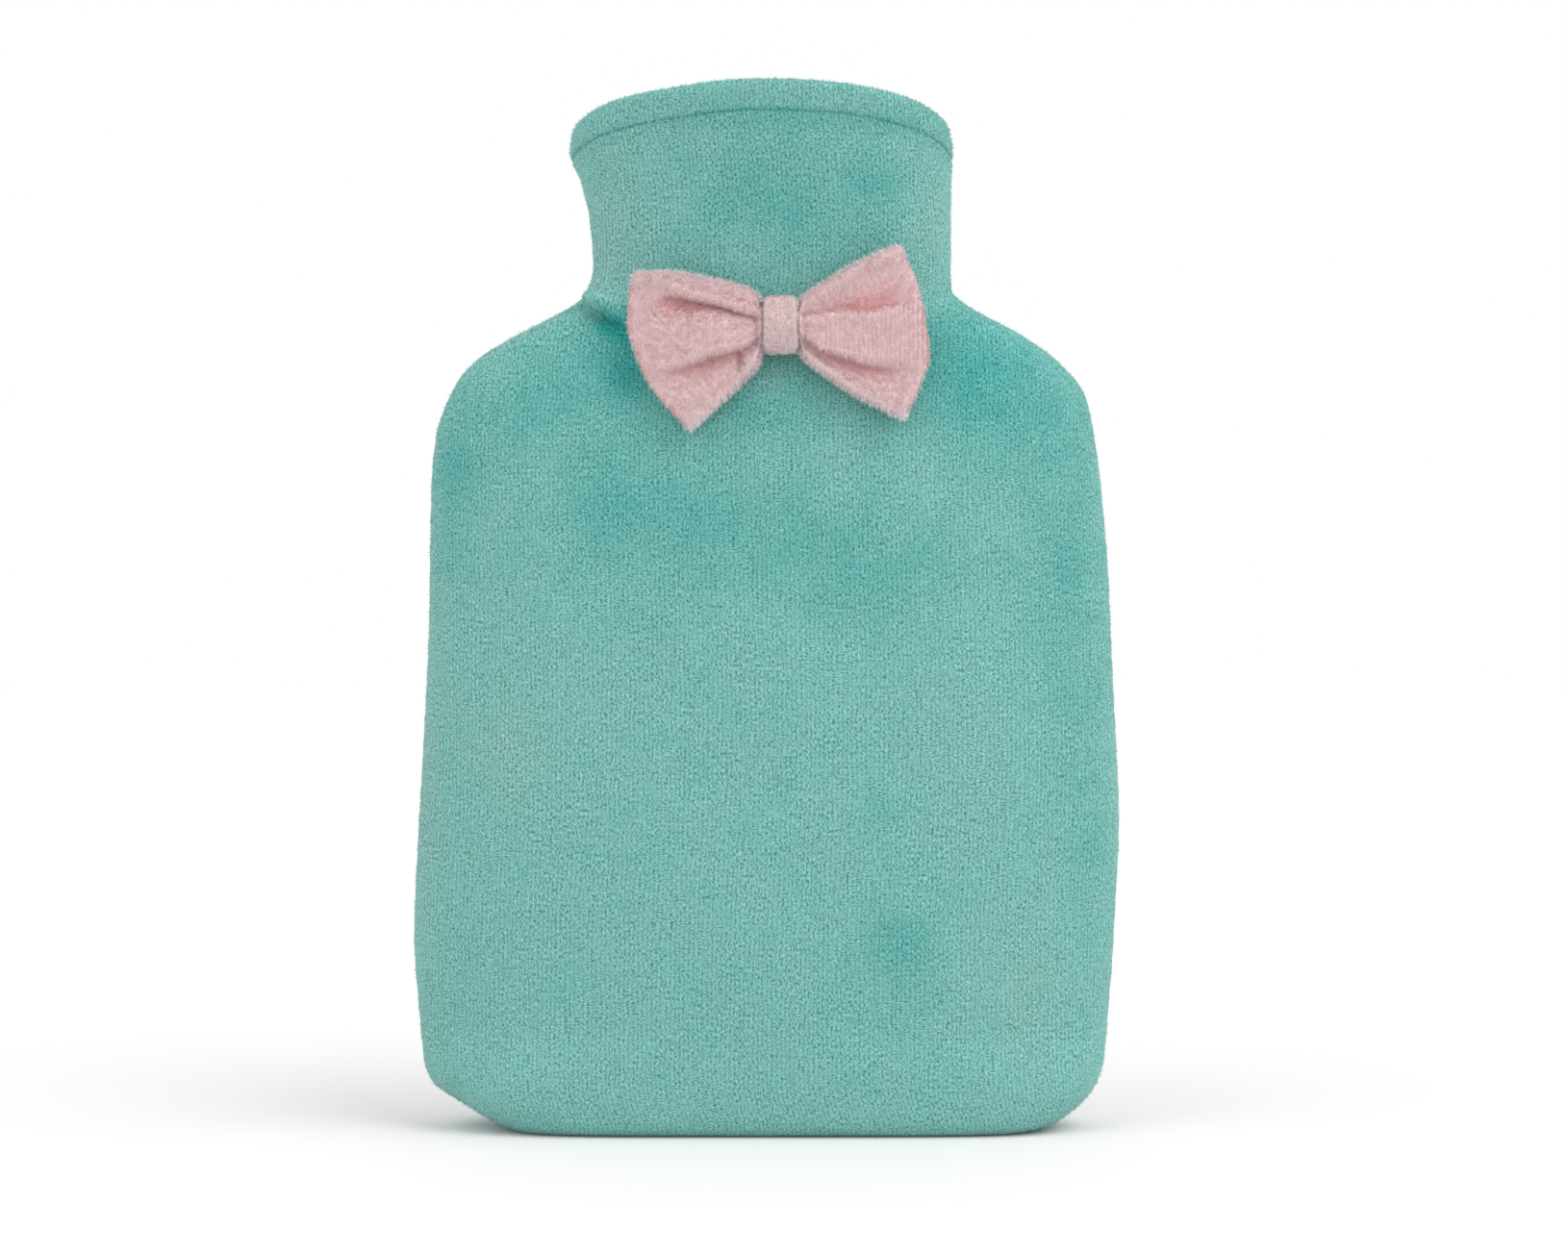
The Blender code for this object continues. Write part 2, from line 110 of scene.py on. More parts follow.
# Where the nap lies another way, painted into the colour: middle, reach across and up, lean in degrees, and
# how dark (+) or pale (-). Dark is painted shade, the nap without its sheen, and on the front also the shade
# in the throat's crease, the bow's shadow to its left and the shoulders' hollows; pale is painted sheen.
NapSheenShade = namedtuple("NapSheenShade", "x z wide high lean dark")
FRONT_NAP_SHEEN_AND_SHADE = rows_of(
    NapSheenShade,
    (-47, 245.5, 9, 4.5, -32, 1.3), (-42, 232, 11, 14, 20, 0.65), (-64, 226, 32, 15, 22, 0.5),
    (-2, 219, 34, 10, 0, 0.35), (64, 230, 32, 23, -32, 0.8), (-34, 187, 34, 24, 0, 0.46),
    (-48, 196, 12, 10, 0, 0.2), (26, 172, 34, 19, -12, 0.42), (91, 166, 13, 44, 0, 0.36),
    (96, 84, 8, 34, 0, 0.25), (-95, 197, 8, 28, 0, 0.4), (2, 280, 28, 17, 0, 0.42),
    (33, 287, 10, 11, -20, 0.36), (14, 304, 34, 3.6, 0, 0.35), (39, 56, 11, 17, -15, 0.42),
    (32, 98, 7, 7, 0, 0.25), (78, 42, 14, 32, 0, -0.38), (-79, 118, 17, 24, 0, -0.45),
    (-104, 100, 5, 60, 0, -0.5), (-47, 270, 10, 24, 0, -0.7), (50, 272, 8, 20, 0, -0.5),
    (-60, 22, 50, 12, 0, -0.12), (58, 118, 14, 26, 0, -0.2),
)
# The back's nap: painted shade where dark (+), painted sheen where pale (-).
BACK_NAP_SHEEN_AND_SHADE = rows_of(
    NapSheenShade,
    (34, 226, 42, 22, -24, 0.45), (-58, 206, 30, 26, 20, 0.3), (18, 150, 30, 24, 12, 0.4),
    (-46, 74, 24, 32, -10, 0.28), (-94, 150, 10, 46, 0, 0.35), (70, 88, 24, 34, 0, -0.4),
    (-10, 282, 22, 14, 0, 0.35),
)

KNOT_X, KNOT_HEIGHT = 4.2, 243.0
BOW_MIDDLE = -29.74  # y of the bow's middle layer, from the seams
Point = namedtuple("Point", "out up")
PleatPoint = namedtuple("PleatPoint", "out up depth above below")
Wing = namedtuple("Wing", "side top end bottom pleats ribs")
LEFT_WING = Wing(
    side=-1,
    top=rows_of(Point, (5.8, 5.2), (6.8, 9), (12.1, 12.2), (22.6, 14.8), (35.7, 16.8), (44.4, 16.6)),
    end=rows_of(
        Point,
        (27.6, -32), (35.7, -23.8), (40.9, -16.6), (44, -8.8), (46.2, -0.3), (46, 7.6), (44.4, 16.6),
    ),
    bottom=rows_of(Point, (5.8, -5.2), (6.9, -12.6), (12.1, -18.4), (19.3, -24.5), (27.6, -32)),
    pleats=[
        rows_of(
            PleatPoint,
            (5.8, 1.8, 2.2, 0.8, 1.8), (12, 3.6, 3.6, 0.9, 2.2), (20, 6, 5, 1, 3.2),
            (27, 7.8, 6, 1.2, 5.6), (32, 8.2, 5, 2, 7), (38, 6.4, 2.4, 4.2, 6.4), (44, 3.4, 0.6, 5, 5),
        ),
        rows_of(
            PleatPoint,
            (5.8, -4, 2, 0.8, 2.6), (12, -7.8, 4, 0.9, 4.6), (20, -9.6, 4.4, 1, 7),
            (30.4, -13, 3.2, 1.3, 8), (37.7, -15.6, 1.5, 2, 8), (43, -17, 0, 3, 6),
        ),
    ],
    ribs=0.0,
)
RIGHT_WING = Wing(
    side=1,
    top=rows_of(
        Point,
        (5.8, 5.2), (6.7, 8.6), (10.2, 11.2), (16.7, 15.4), (23.3, 19.2), (29.8, 22), (36.6, 25.2),
    ),
    end=rows_of(
        Point,
        (37.2, -28.6), (40.3, -23.2), (42.9, -17.3), (45, -10.1), (44.4, -2.2), (43.4, 5.6), (42, 12.4),
        (36.6, 25.2),
    ),
    bottom=rows_of(
        Point,
        (5.8, -5.2), (6.7, -9), (10.2, -12.8), (16.7, -17.6), (23.3, -21.8), (37.2, -28.6),
    ),
    pleats=[
        rows_of(
            PleatPoint,
            (5.8, 3, 2, 2, 0.8), (15, 4.6, 3.8, 4.6, 0.9), (24, 5, 5, 8, 1), (31, 5.8, 4.8, 10, 1.1),
            (38, 8, 2.4, 10, 1.6), (43, 9.6, 0.4, 9, 2.4),
        ),
        rows_of(
            PleatPoint,
            (5.8, -3.8, 2, 0.9, 2.2), (13.4, -8.4, 3.8, 0.9, 4.4), (22, -11.2, 4.4, 1.1, 6),
            (30, -12.8, 3.6, 1.4, 7), (37, -13.4, 1.6, 2.2, 6.5), (43, -13.8, 0.2, 3, 5),
        ),
    ],
    ribs=1.0,
)
WAIST_HEIGHT, WAIST_THICK, WING_THICK = 10.4, 6.6, 8.6
TIP_FROM, TIP_LONG = 0.955, 0.045  # where a wing's rounded end starts, and its length, as shares of the wing
POUCH_EDGE = 2.0  # radius of the sewn edges of the bow's pouch
PILE_ROOM = 0.9  # how far the bow's cloth lies inside its outline, which its pile fills
BOW_TILT, BOW_CURL, WING_REACH = 0.14, 2.4, 44.0
BAND_WIDTH, BAND_HEIGHT, BAND_DEPTH = 10.0, 16.8, 13.2
BAND_CLOTH, BAND_SWELL, BAND_EDGE = 2.1, 0.7, 1.0  # its thickness, its swell, and how round its edges are


# ---------------------------------------------------------------- what a user would change


SHADES = {
    # Painted light among these: the colour deep between the tufts is painted shade, the ends of the fibres
    # carry a painted highlight, the nap seen into its depth is painted shade with the nap's sheen left out,
    # and the nap seen along its lay is painted sheen.
    "Ground": "Deep between the tufts",
    "Pile": "The nap as it mostly shows",
    "Tips": "Ends of the fibres",
    "Stroked": "The nap seen into its depth",
    "Pale": "The nap seen along its lay",
    "Floor": "The pale floor",
}


def length_setting(name, description, millimetres):
    return FloatProperty(name=name, description=description, default=millimetres * MM, unit="LENGTH")


def colour_setting(name, default):
    return FloatVectorProperty(name=name, description=SHADES[name], default=default, subtype="COLOR")


def count_setting(name, description, default):
    return IntProperty(name=name, description=description, default=default, min=0)


def light_setting(name, description, default):
    return FloatProperty(name=name, description=description, default=default, min=0.0)


class COVER_PG_cloth(bpy.types.PropertyGroup):
    thickness: length_setting("Cloth thickness", "One layer of velour", 2.2)
    allowance: length_setting("Seam allowance", "Cloth turned in at the seams", 5)
    rib_pitch: length_setting("Rib pitch", "From one rib of the pile to the next", 1.38)
    pile_length: length_setting("Pile length", "Loose fibres of the panels", 1.0)
    stitch_pitch: length_setting("Stitch pitch", "From one hem stitch to the next", 2.56)
    fibres: count_setting("Fibres", "Loose fibres on the front panel", 150000)
    # The colours deep between the tufts and into the nap are painted shade, the ends' colour is a painted
    # highlight, and the colour along the nap's lay is painted sheen.
    ground_shade: colour_setting("Ground", (0.060, 0.228, 0.203))
    pile: colour_setting("Pile", (0.210, 0.500, 0.459))
    tips: colour_setting("Tips", (0.322, 0.675, 0.628))
    stroked_shade: colour_setting("Stroked", (0.028, 0.372, 0.345))
    pale: colour_setting("Pale", (0.265, 0.490, 0.458))


class COVER_PG_bow(bpy.types.PropertyGroup):
    pile_length: length_setting("Pile length", "Loose fibres of the bow", 1.5)
    fibres: count_setting("Fibres", "Loose fibres on the loops", 110000)
    # The colours deep between the tufts and into the nap are painted shade, the ends' colour is a painted
    # highlight, and the colour along the nap's lay is painted sheen.
    ground_shade: colour_setting("Ground", (0.680, 0.455, 0.465))
    pile: colour_setting("Pile", (0.815, 0.607, 0.622))
    tips: colour_setting("Tips", (0.880, 0.745, 0.755))
    stroked_shade: colour_setting("Stroked", (0.790, 0.380, 0.385))
    pale: colour_setting("Pale", (0.865, 0.710, 0.725))


class COVER_PG_stage(bpy.types.PropertyGroup):
    key: light_setting("Key light", "From the right, above the front", 1.46)
    fill: light_setting("Fill light", "From the left, above the front", 0.65)
    surround: light_setting("Surround", "Even light of the room", 0.78)
    floor: colour_setting("Floor", (0.84, 0.815, 0.82))
    lens: FloatProperty(name="Lens", description="Focal length in millimetres", default=74.87, unit="CAMERA")


# ---------------------------------------------------------------- curves and grids


def through(knots, values, at):
    """A cubic through the knots that never overshoots them: Hermite, with harmonic slopes."""
    knots, values, at = (np.asarray(a, float) for a in (knots, values, at))
    step = np.diff(knots)
    rise = np.diff(values) / step
    slope = np.concatenate([rise[:1], np.zeros(len(knots) - 2), rise[-1:]])
    same = rise[:-1] * rise[1:] > 0
    slope[1:-1][same] = 2 * rise[:-1][same] * rise[1:][same] / (rise[:-1] + rise[1:])[same]
    i = np.clip(np.searchsorted(knots, at) - 1, 0, len(knots) - 2)
    t = (at - knots[i]) / step[i]
    return (
        (1 + 2 * t) * (1 - t) ** 2 * values[i]
        + t * (1 - t) ** 2 * step[i] * slope[i]
        + t * t * (3 - 2 * t) * values[i + 1]
        + t * t * (t - 1) * step[i] * slope[i + 1]
    )


def smoothstep(value, low, high):
    """0 below low, 1 above high, and 3t^2 - 2t^3 between."""
    t = np.clip((value - low) / (high - low), 0, 1)
    return t * t * (3 - 2 * t)


def length(vectors):
    return np.linalg.norm(vectors, axis=-1, keepdims=True)


def unit(vectors):
    return vectors / np.maximum(length(vectors), 1e-12)


def bell(x, z, at_x, at_z, turn, along, across):
    """exp(-(a/along)^2 - (b/across)^2), with a and b measured along and across a line turned by turn."""
    turn = math.radians(turn)
    a = (x - at_x) * math.cos(turn) + (z - at_z) * math.sin(turn)
    b = (z - at_z) * math.cos(turn) - (x - at_x) * math.sin(turn)
    return np.exp(-((a / along) ** 2) - (b / across) ** 2), a, b


def normals_of(points, sign):
    """The cross product of a grid's slopes along its columns and its rows, with this sign."""
    return unit(sign * np.cross(np.gradient(points, axis=1), np.gradient(points, axis=0)))


def grid_faces(rows, columns, flip=False, closed=False):
    """The quads of a grid, turned round where flip is set, and joined at its sides where closed is."""
    index = np.arange(rows * columns).reshape(rows, columns)
    if closed:
        index = np.concatenate([index, index[:, :1]], axis=1)
    quads = np.stack([index[:-1, :-1], index[:-1, 1:], index[1:, 1:], index[1:, :-1]], axis=-1)
    quads = quads.reshape(-1, 4)
    return quads[:, ::-1] if flip else quads


def new_piece(name, points, faces, marks=None, materials=(), weld=0.0):
    """A smooth mesh of these points in metres. marks holds one number or vector for each point, by name."""
    mesh = bpy.data.meshes.new(name)
    mesh.from_pydata(np.asarray(points, float).reshape(-1, 3).tolist(), [], faces.tolist())
    for key, values in (marks or {}).items():
        values = np.asarray(values, np.float32)
        wide = values.ndim == 2
        layer = mesh.attributes.new(key, "FLOAT_VECTOR" if wide else "FLOAT", "POINT")
        layer.data.foreach_set("vector" if wide else "value", values.ravel())
    if weld:
        work = bmesh.new()
        work.from_mesh(mesh)
        bmesh.ops.remove_doubles(work, verts=work.verts, dist=weld)
        work.to_mesh(mesh)
        work.free()
    mesh.validate()
    mesh.shade_smooth()
    for material in materials:
        mesh.materials.append(material)
    obj = bpy.data.objects.new(name, mesh)
    bpy.context.scene.collection.objects.link(obj)
    return obj


# ---------------------------------------------------------------- shader nodes


def feed(tree, node, inputs):
    """Gives each of the node's sockets its value, or links it to the socket that feeds it."""
    for key, value in inputs.items():
        if isinstance(value, bpy.types.NodeSocket):
            tree.links.new(value, node.inputs[key])
        else:
            node.inputs[key].default_value = value


def add_node(tree, kind, inputs=None, **settings):
    node = tree.nodes.new("ShaderNode" + kind)
    for key, value in settings.items():
        setattr(node, key, value)
    feed(tree, node, inputs or {})
    return node


def calc(tree, operation, a, b=0.0, c=0.0):
    """One step of arithmetic: the operation on a, b and c."""
    return add_node(tree, "Math", {0: a, 1: b, 2: c}, operation=operation).outputs[0]


def blend(tree, share, a, b, how="MIX"):
    """The colour a where share is 0, and b where it is 1."""
    return add_node(tree, "Mix", {0: share, 6: a, 7: b}, data_type="RGBA", blend_type=how).outputs[2]


def tinted(tree, share, colour, tint):
    """The colour where share is 0, and the colour times the tint where it is 1."""
    return blend(tree, share, colour, tint, "MULTIPLY")


def ramp(tree, value, low, high, to_low=0.0, to_high=1.0):
    """value carried smoothly from low..high to to_low..to_high."""
    sockets = {0: value, 1: low, 2: high, 3: to_low, 4: to_high}
    return add_node(tree, "MapRange", sockets, interpolation_type="SMOOTHSTEP").outputs[0]


def noise(tree, place, size, detail=2.0, rough=0.5, output=0):
    """Noise whose cells are size metres wide, one number or one for each axis."""
    sizes = (size, size, size) if isinstance(size, float) else size
    scale = tuple(1 / s for s in sizes)
    scaled = add_node(tree, "VectorMath", {0: place, 1: scale}, operation="MULTIPLY").outputs[0]
    sockets = {"Vector": scaled, "Scale": 1.0, "Detail": detail, "Roughness": rough}
    return add_node(tree, "TexNoise", sockets).outputs[output]


def new_group(name, inputs, outputs):
    """An empty node group with these sockets, and its two end nodes."""
    group = bpy.data.node_groups.new(name, "ShaderNodeTree")
    for label, kind, value in inputs:
        socket = group.interface.new_socket(label, in_out="INPUT", socket_type="NodeSocket" + kind)
        if value is not None:
            socket.default_value = value
    for label, kind in outputs:
        group.interface.new_socket(label, in_out="OUTPUT", socket_type="NodeSocket" + kind)
    return group, group.nodes.new("NodeGroupInput").outputs, group.nodes.new("NodeGroupOutput").inputs


def wave_across(tree, place, pitch):
    """A sine across the cloth, with this pitch."""
    across = add_node(tree, "SeparateXYZ", {0: place}).outputs[0]
    turns = calc(tree, "MULTIPLY", calc(tree, "DIVIDE", across, pitch), math.tau)
    return calc(tree, "SINE", turns)


TUFT_WIDE, TUFT_TALL = 0.42 * MM, 0.95 * MM


def pile_group():
    """Velour pile seen close: short tufts in wandering ribs.

    Tufts are noise drawn out along the ribs, and in some places across them. The ribs are a sine across the
    cloth. Gaps run where a coarser noise passes its middle. Together they give the height, which also picks
    the colour: painted shade deep between the tufts, the pile, and a painted highlight on the tufts' tops.
    Nap tints the cloth with the tint of the nap seen into its depth, painted shade, where it is above 0, and
    with the tint of the nap seen along its lay, painted sheen, where it is below.
    """
    group, given, made = new_group(
        "Velour Pile",
        [
            ("Place", "Vector", None), ("Nap", "Float", 0.0),
            ("Ground", "Color", (0.1, 0.3, 0.3, 1)), ("Pile", "Color", (0.2, 0.5, 0.4, 1)),
            ("Tips", "Color", (0.4, 0.6, 0.6, 1)), ("Stroked", "Color", (0.3, 0.7, 0.7, 1)),
            ("Pale", "Color", (1.2, 1.0, 1.0, 1)), ("Rib Pitch", "Float", 0.0014),
            ("Rib Strength", "Float", 0.25), ("Crossing", "Float", 0.5), ("Cloud", "Float", 1.0),
        ],
        [("Colour", "Color"), ("Height", "Float"), ("Tuft", "Float")],
    )
    place = given["Place"]
    sockets = {0: noise(group, place, 0.0075, 2.0, 0.6, 1), 1: (0.5, 0.5, 0.5)}
    shift = add_node(group, "VectorMath", sockets, operation="SUBTRACT").outputs[0]
    sockets = {0: shift, 1: (0.0020, 0.0016, 0.0), 2: place}
    wander = add_node(group, "VectorMath", sockets, operation="MULTIPLY_ADD").outputs[0]
    upright = noise(group, wander, (TUFT_WIDE, TUFT_TALL, 1.0), 2.0, 0.6)
    lying = noise(group, wander, (TUFT_TALL, TUFT_WIDE, 1.0), 2.0, 0.6)
    turned = ramp(group, noise(group, place, (0.020, 0.026, 1.0), 1.0, 0.5), 0.47, 0.62)
    turned = calc(group, "MULTIPLY", turned, given["Crossing"])
    tufts = add_node(group, "Mix", {0: turned, 2: upright, 3: lying}, data_type="FLOAT").outputs[0]
    rib = calc(group, "MULTIPLY", wave_across(group, wander, given["Rib Pitch"]), 0.035)
    rib = calc(group, "MULTIPLY", rib, given["Rib Strength"])
    apart = calc(group, "SUBTRACT", noise(group, wander, (0.0011, 0.0016, 1.0), 1.0), 0.5)
    gap = ramp(group, calc(group, "ABSOLUTE", apart), 0.0, 0.05, 0.09, 0.0)
    height = calc(group, "SUBTRACT", calc(group, "ADD", tufts, rib), gap)
    tuft = ramp(group, height, 0.32, 0.52)
    group.links.new(height, made["Height"])
    group.links.new(tuft, made["Tuft"])
    # Painted shade deep between the tufts, and a painted highlight on their tops.
    body = blend(group, tuft, given["Ground"], given["Pile"])
    tip_highlight = ramp(group, height, 0.50, 0.64, 0.0, 0.9)
    body = blend(group, tip_highlight, body, given["Tips"])
    # Random patches of the nap, tinted with its painted shade and painted sheen.
    cloud = calc(group, "SUBTRACT", noise(group, place, 0.014, 4.0, 0.6), 0.5)
    nap = calc(group, "MULTIPLY_ADD", cloud, given["Cloud"], given["Nap"])
    dark = add_node(group, "MapRange", {0: nap, 1: 0.0, 2: 1.2, 3: 0.0, 4: 1.0}).outputs[0]
    body = tinted(group, dark, body, given["Stroked"])
    body = tinted(group, ramp(group, nap, 0.0, -1.0, 0.0, 0.9), body, given["Pale"])
    group.links.new(body, made["Colour"])
    return group


def groove_shade_group():
    """How much painted shade a line of stitches gets: along its groove, with a dark dot where each stitch
    dives.
    """
    group, given, made = new_group(
        "Stitch Line",
        [("Place", "Vector", None), ("Groove", "Float", 0.0), ("Pitch", "Float", 0.00256)],
        [("Mask", "Float")],
    )
    dive = ramp(group, wave_across(group, given["Place"], given["Pitch"]), 0.1, 0.9)
    wide = calc(group, "POWER", given["Groove"], 1.6)
    fine = calc(group, "MULTIPLY", calc(group, "POWER", given["Groove"], 3.0), dive)
    uneven = ramp(group, noise(group, given["Place"], 0.012, 1.0), 0.3, 0.7, 0.3, 0.85)
    mask = calc(group, "MULTIPLY_ADD", wide, uneven, calc(group, "MULTIPLY", fine, 0.8))
    group.links.new(calc(group, "MINIMUM", mask, 1.0), made["Mask"])
    return group


def group_node(tree, name, maker, inputs):
    """The outputs of a node of the group with this name, which maker builds the first time."""
    group = bpy.data.node_groups.get(name) or maker()
    return add_node(tree, "Group", inputs, node_tree=group).outputs


def read_mark(tree, name, output="Fac"):
    return add_node(tree, "Attribute", attribute_name=name, attribute_type="GEOMETRY").outputs[output]


def colour4(colour, times=(1, 1, 1)):
    return (*(c * t for c, t in zip(colour, times)), 1.0)


def tint_of(colour, pile):
    """What turns the pile's colour into this one."""
    return (*(c / p for c, p in zip(colour, pile)), 1.0)


def new_material(name):
    """A material with nodes, its tree, and its shader."""
    material = bpy.data.materials.new(name)
    material.use_nodes = True
    return material, material.node_tree, material.node_tree.nodes["Principled BSDF"]


def velour(name, settings, rib_strength, crossing, cloud, bump, sheen, stitched=None):
    """Plush cloth: the pile group's colour and height, the sheen of upright fibres, and no gloss."""
    material, tree, shader = new_material(name)
    place = read_mark(tree, "cloth", "Vector")
    sockets = {
        "Place": place,
        "Nap": read_mark(tree, "nap"),
        "Ground": colour4(settings.ground_shade),
        "Pile": colour4(settings.pile),
        "Tips": colour4(settings.tips),
        "Stroked": tint_of(settings.stroked_shade, settings.pile),
        "Pale": tint_of(settings.pale, settings.pile),
        "Rib Pitch": bpy.context.scene.cover_cloth.rib_pitch,
        "Rib Strength": calc(tree, "MULTIPLY", read_mark(tree, "rib"), rib_strength),
        "Crossing": crossing,
        "Cloud": cloud,
    }
    pile = group_node(tree, "Velour Pile", pile_group, sockets)
    colour = pile["Colour"]
    # Painted shade along the hem's stitch groove, darkest where each stitch dives.
    if stitched:
        sockets = {"Place": place, "Groove": read_mark(tree, "groove"), "Pitch": stitched}
        groove_shade = group_node(tree, "Stitch Line", groove_shade_group, sockets)["Mask"]
        colour = blend(tree, groove_shade, colour, colour4(settings.stroked_shade, (0.75, 0.75, 0.75)))
    relief = {"Strength": bump, "Distance": 0.0007, "Height": pile["Height"]}
    sockets = {
        "Base Color": colour,
        "Normal": add_node(tree, "Bump", relief).outputs[0],
        "Roughness": ramp(tree, pile["Tuft"], 0.0, 1.0, 0.95, 0.78),
        "Specular IOR Level": 0.12,
        "Sheen Weight": sheen,
        "Sheen Roughness": 0.42,
        "Sheen Tint": (0.95, 0.97, 0.96, 1.0),
    }
    feed(tree, shader, sockets)
    return material


def loose_pile(name, settings, sheen, tint=(1, 1, 1)):
    """Loose fibres: the cloth's colour times the tint at their roots, paler towards their tips as a painted
    highlight, and tinted by the nap: painted shade where it is above 0, painted sheen where it is below.
    """
    material, tree, shader = new_material(name)
    cloud = noise(tree, read_mark(tree, "cloth", "Vector"), 0.0021, 2.0, 0.6)
    tip = calc(tree, "MULTIPLY_ADD", calc(tree, "SUBTRACT", cloud, 0.5), 0.9, read_mark(tree, "tip"))
    body = blend(tree, ramp(tree, tip, 0.0, 1.0), colour4(settings.pile, tint), colour4(settings.tips, tint))
    nap = read_mark(tree, "nap")
    # Painted shade where the nap is above 0, and painted sheen where it is below.
    dark, light = ramp(tree, nap, 0.0, 1.0, 0.0, 0.95), ramp(tree, nap, 0.0, -0.6, 0.0, 0.7)
    body = tinted(tree, dark, body, tint_of(settings.stroked_shade, settings.pile))
    body = tinted(tree, light, body, tint_of(settings.pale, settings.pile))
    sockets = {"Base Color": body, "Roughness": 0.85, "Specular IOR Level": 0.1}
    feed(tree, shader, {**sockets, "Sheen Weight": sheen, "Sheen Roughness": 0.4})
    return material


def backing(name, colour):
    """The cloth's plain back: a fine knit of short rows of loops."""
    material, tree, shader = new_material(name)
    place = read_mark(tree, "cloth", "Vector")
    parts = add_node(tree, "SeparateXYZ", {0: place}).outputs
    across = calc(tree, "SINE", calc(tree, "MULTIPLY", parts[0], math.tau / 0.0009))
    up = calc(tree, "ADD", parts[1], calc(tree, "MULTIPLY", across, 0.0002))
    loops = calc(tree, "SINE", calc(tree, "MULTIPLY", up, math.tau / 0.0011))
    loops = calc(tree, "MULTIPLY_ADD", loops, 0.25, calc(tree, "MULTIPLY", across, 0.25))
    deep, pale = colour4([0.8 * c for c in colour]), colour4([min(1.15 * c, 1) for c in colour])
    body = blend(tree, ramp(tree, loops, -0.5, 0.5), deep, pale)
    body = blend(tree, ramp(tree, noise(tree, place, 0.009, 3.0), 0.4, 0.8, 0.0, 0.4), body, deep)
    relief = add_node(tree, "Bump", {"Strength": 0.5, "Distance": 0.0003, "Height": loops}).outputs[0]
    sockets = {"Base Color": body, "Normal": relief, "Roughness": 0.9, "Specular IOR Level": 0.15}
    feed(tree, shader, sockets)
    return material


# ---------------------------------------------------------------- the panels


def section(column, heights):
    return through([s.height for s in SECTIONS], [getattr(s, column) for s in SECTIONS], heights)


def columns_of(count):
    """Turns from the right seam over a panel's middle to the left seam, at even steps of cloth."""
    fine = np.linspace(0, math.pi, 4001)
    half, depth = 107.0, 31.4
    out = np.sin(fine)
    across = np.sign(np.cos(fine)) * np.abs(np.cos(fine)) ** (2 / FLATNESS)
    arc = np.concatenate([[0], np.cumsum(np.hypot(np.diff(half * across), np.diff(depth * out)))])
    return np.interp(np.linspace(0, arc[-1], count), arc, fine)


def sleeve_face(heights, turns, side):
    """A panel's smooth outer face. Each height is a superellipse from seam to seam, |x|^2.4 + |y|^2 = 1,
    rolled in at the foot by a quarter circle, a little squarer there, and arched to the rim by |y|^1.1.
    """
    left, right, depth = (section(column, heights) for column in ("left", "right", "depth"))
    under = np.clip(FOOT_ROLL - heights, 0, None)
    depth = depth - (FOOT_ROLL - np.sqrt(FOOT_ROLL**2 - under**2))
    first = (SEAM_GAP + SEAM_ROUND) / depth
    out = first + (1 - first) * np.sin(turns)
    across = np.sign(np.cos(turns)) * np.sqrt(np.clip(1 - out**2, 0, 1))
    x = (right - left) / 2 + (left + right) / 2 * np.sign(across) * np.abs(across) ** (2 / FLATNESS)
    share = np.sin(turns)
    squarer = 1 + 1.2 * (1 - smoothstep(heights, 0, 34))
    deep = first + (1 - first) * (1 - (1 - share) ** squarer)
    rise = RIM_RISE * (1 - LEFT_DROP * smoothstep(-across, 0, 0.45)) * out**RISE_SHAPE
    z = heights + rise * smoothstep(heights, RISE_FROM, STITCHING)
    return np.stack(np.broadcast_arrays(x, side * depth * deep, z), axis=-1)


def fold_relief(x, z, folds):
    """The sum of a panel's folds, each a bell along its line."""
    return sum(f.lift * bell(x, z, f.x, f.z, f.turn, f.along, f.across)[0] for f in folds)


def lap_relief(x, z):
    """The front's lap, whose roll drops steeply to its hollow: its lift, and its lower edge's slide."""
    lap = THROAT_LAP
    _, along, across = bell(x, z, lap.x, lap.z, lap.turn, 1, 1)
    over = lap.lift * np.exp(-((np.clip(across - 1.4, 0, None) / lap.over) ** 2))
    under = -lap.sink * np.exp(-((np.clip(-across, 0, None) / lap.under) ** 2))
    step = smoothstep(across, -0.6, 0.7)
    on_line = np.exp(-((along / lap.along) ** 2))
    turn = math.radians(lap.turn)
    slide = (LAP_OVERHANG * on_line * np.exp(-(((across - 0.9) / 1.5) ** 2)))[..., None]
    slide = slide * np.array([math.sin(turn), 0, -math.cos(turn)])
    return on_line * (over * step + under * (1 - step)), slide


def hem_relief(above):
    """The hem's puffed double layer above its stitching, and the groove along the stitches."""
    band = smoothstep(above, 0.0, 1.6) * (0.35 + 0.3 * np.sin(np.clip(above / HEM, 0, 1) * math.pi))
    groove = 0.4 * np.exp(-((np.abs(above) / np.where(above > 0, 0.5, 1.1)) ** 1.5))
    return band - groove


def slack(u, v, seed):
    """Slow unevenness of the cloth: nine crossing waves, 18 to 70 mm long, each up to 0.2 mm high."""
    waves = np.random.default_rng(seed)
    count = 9
    turn, long = waves.uniform(0, math.tau, count), waves.uniform(18, 70, count)
    high, start = waves.uniform(0.02, 0.08, count) * long / 30, waves.uniform(0, math.tau, count)
    along = u[..., None] * np.cos(turn) + v[..., None] * np.sin(turn)
    return (high * np.sin(math.tau * along / long + start)).sum(axis=-1)


def nap_of(x, z, sheen_and_shade):
    """How the nap lies, with its painted shade and sheen: the sum of the marks' bells."""
    nap = np.zeros_like(x)
    for s in sheen_and_shade:
        nap += s.dark * bell(x, z, s.x, s.z, s.lean, s.wide, s.high)[0]
    return nap


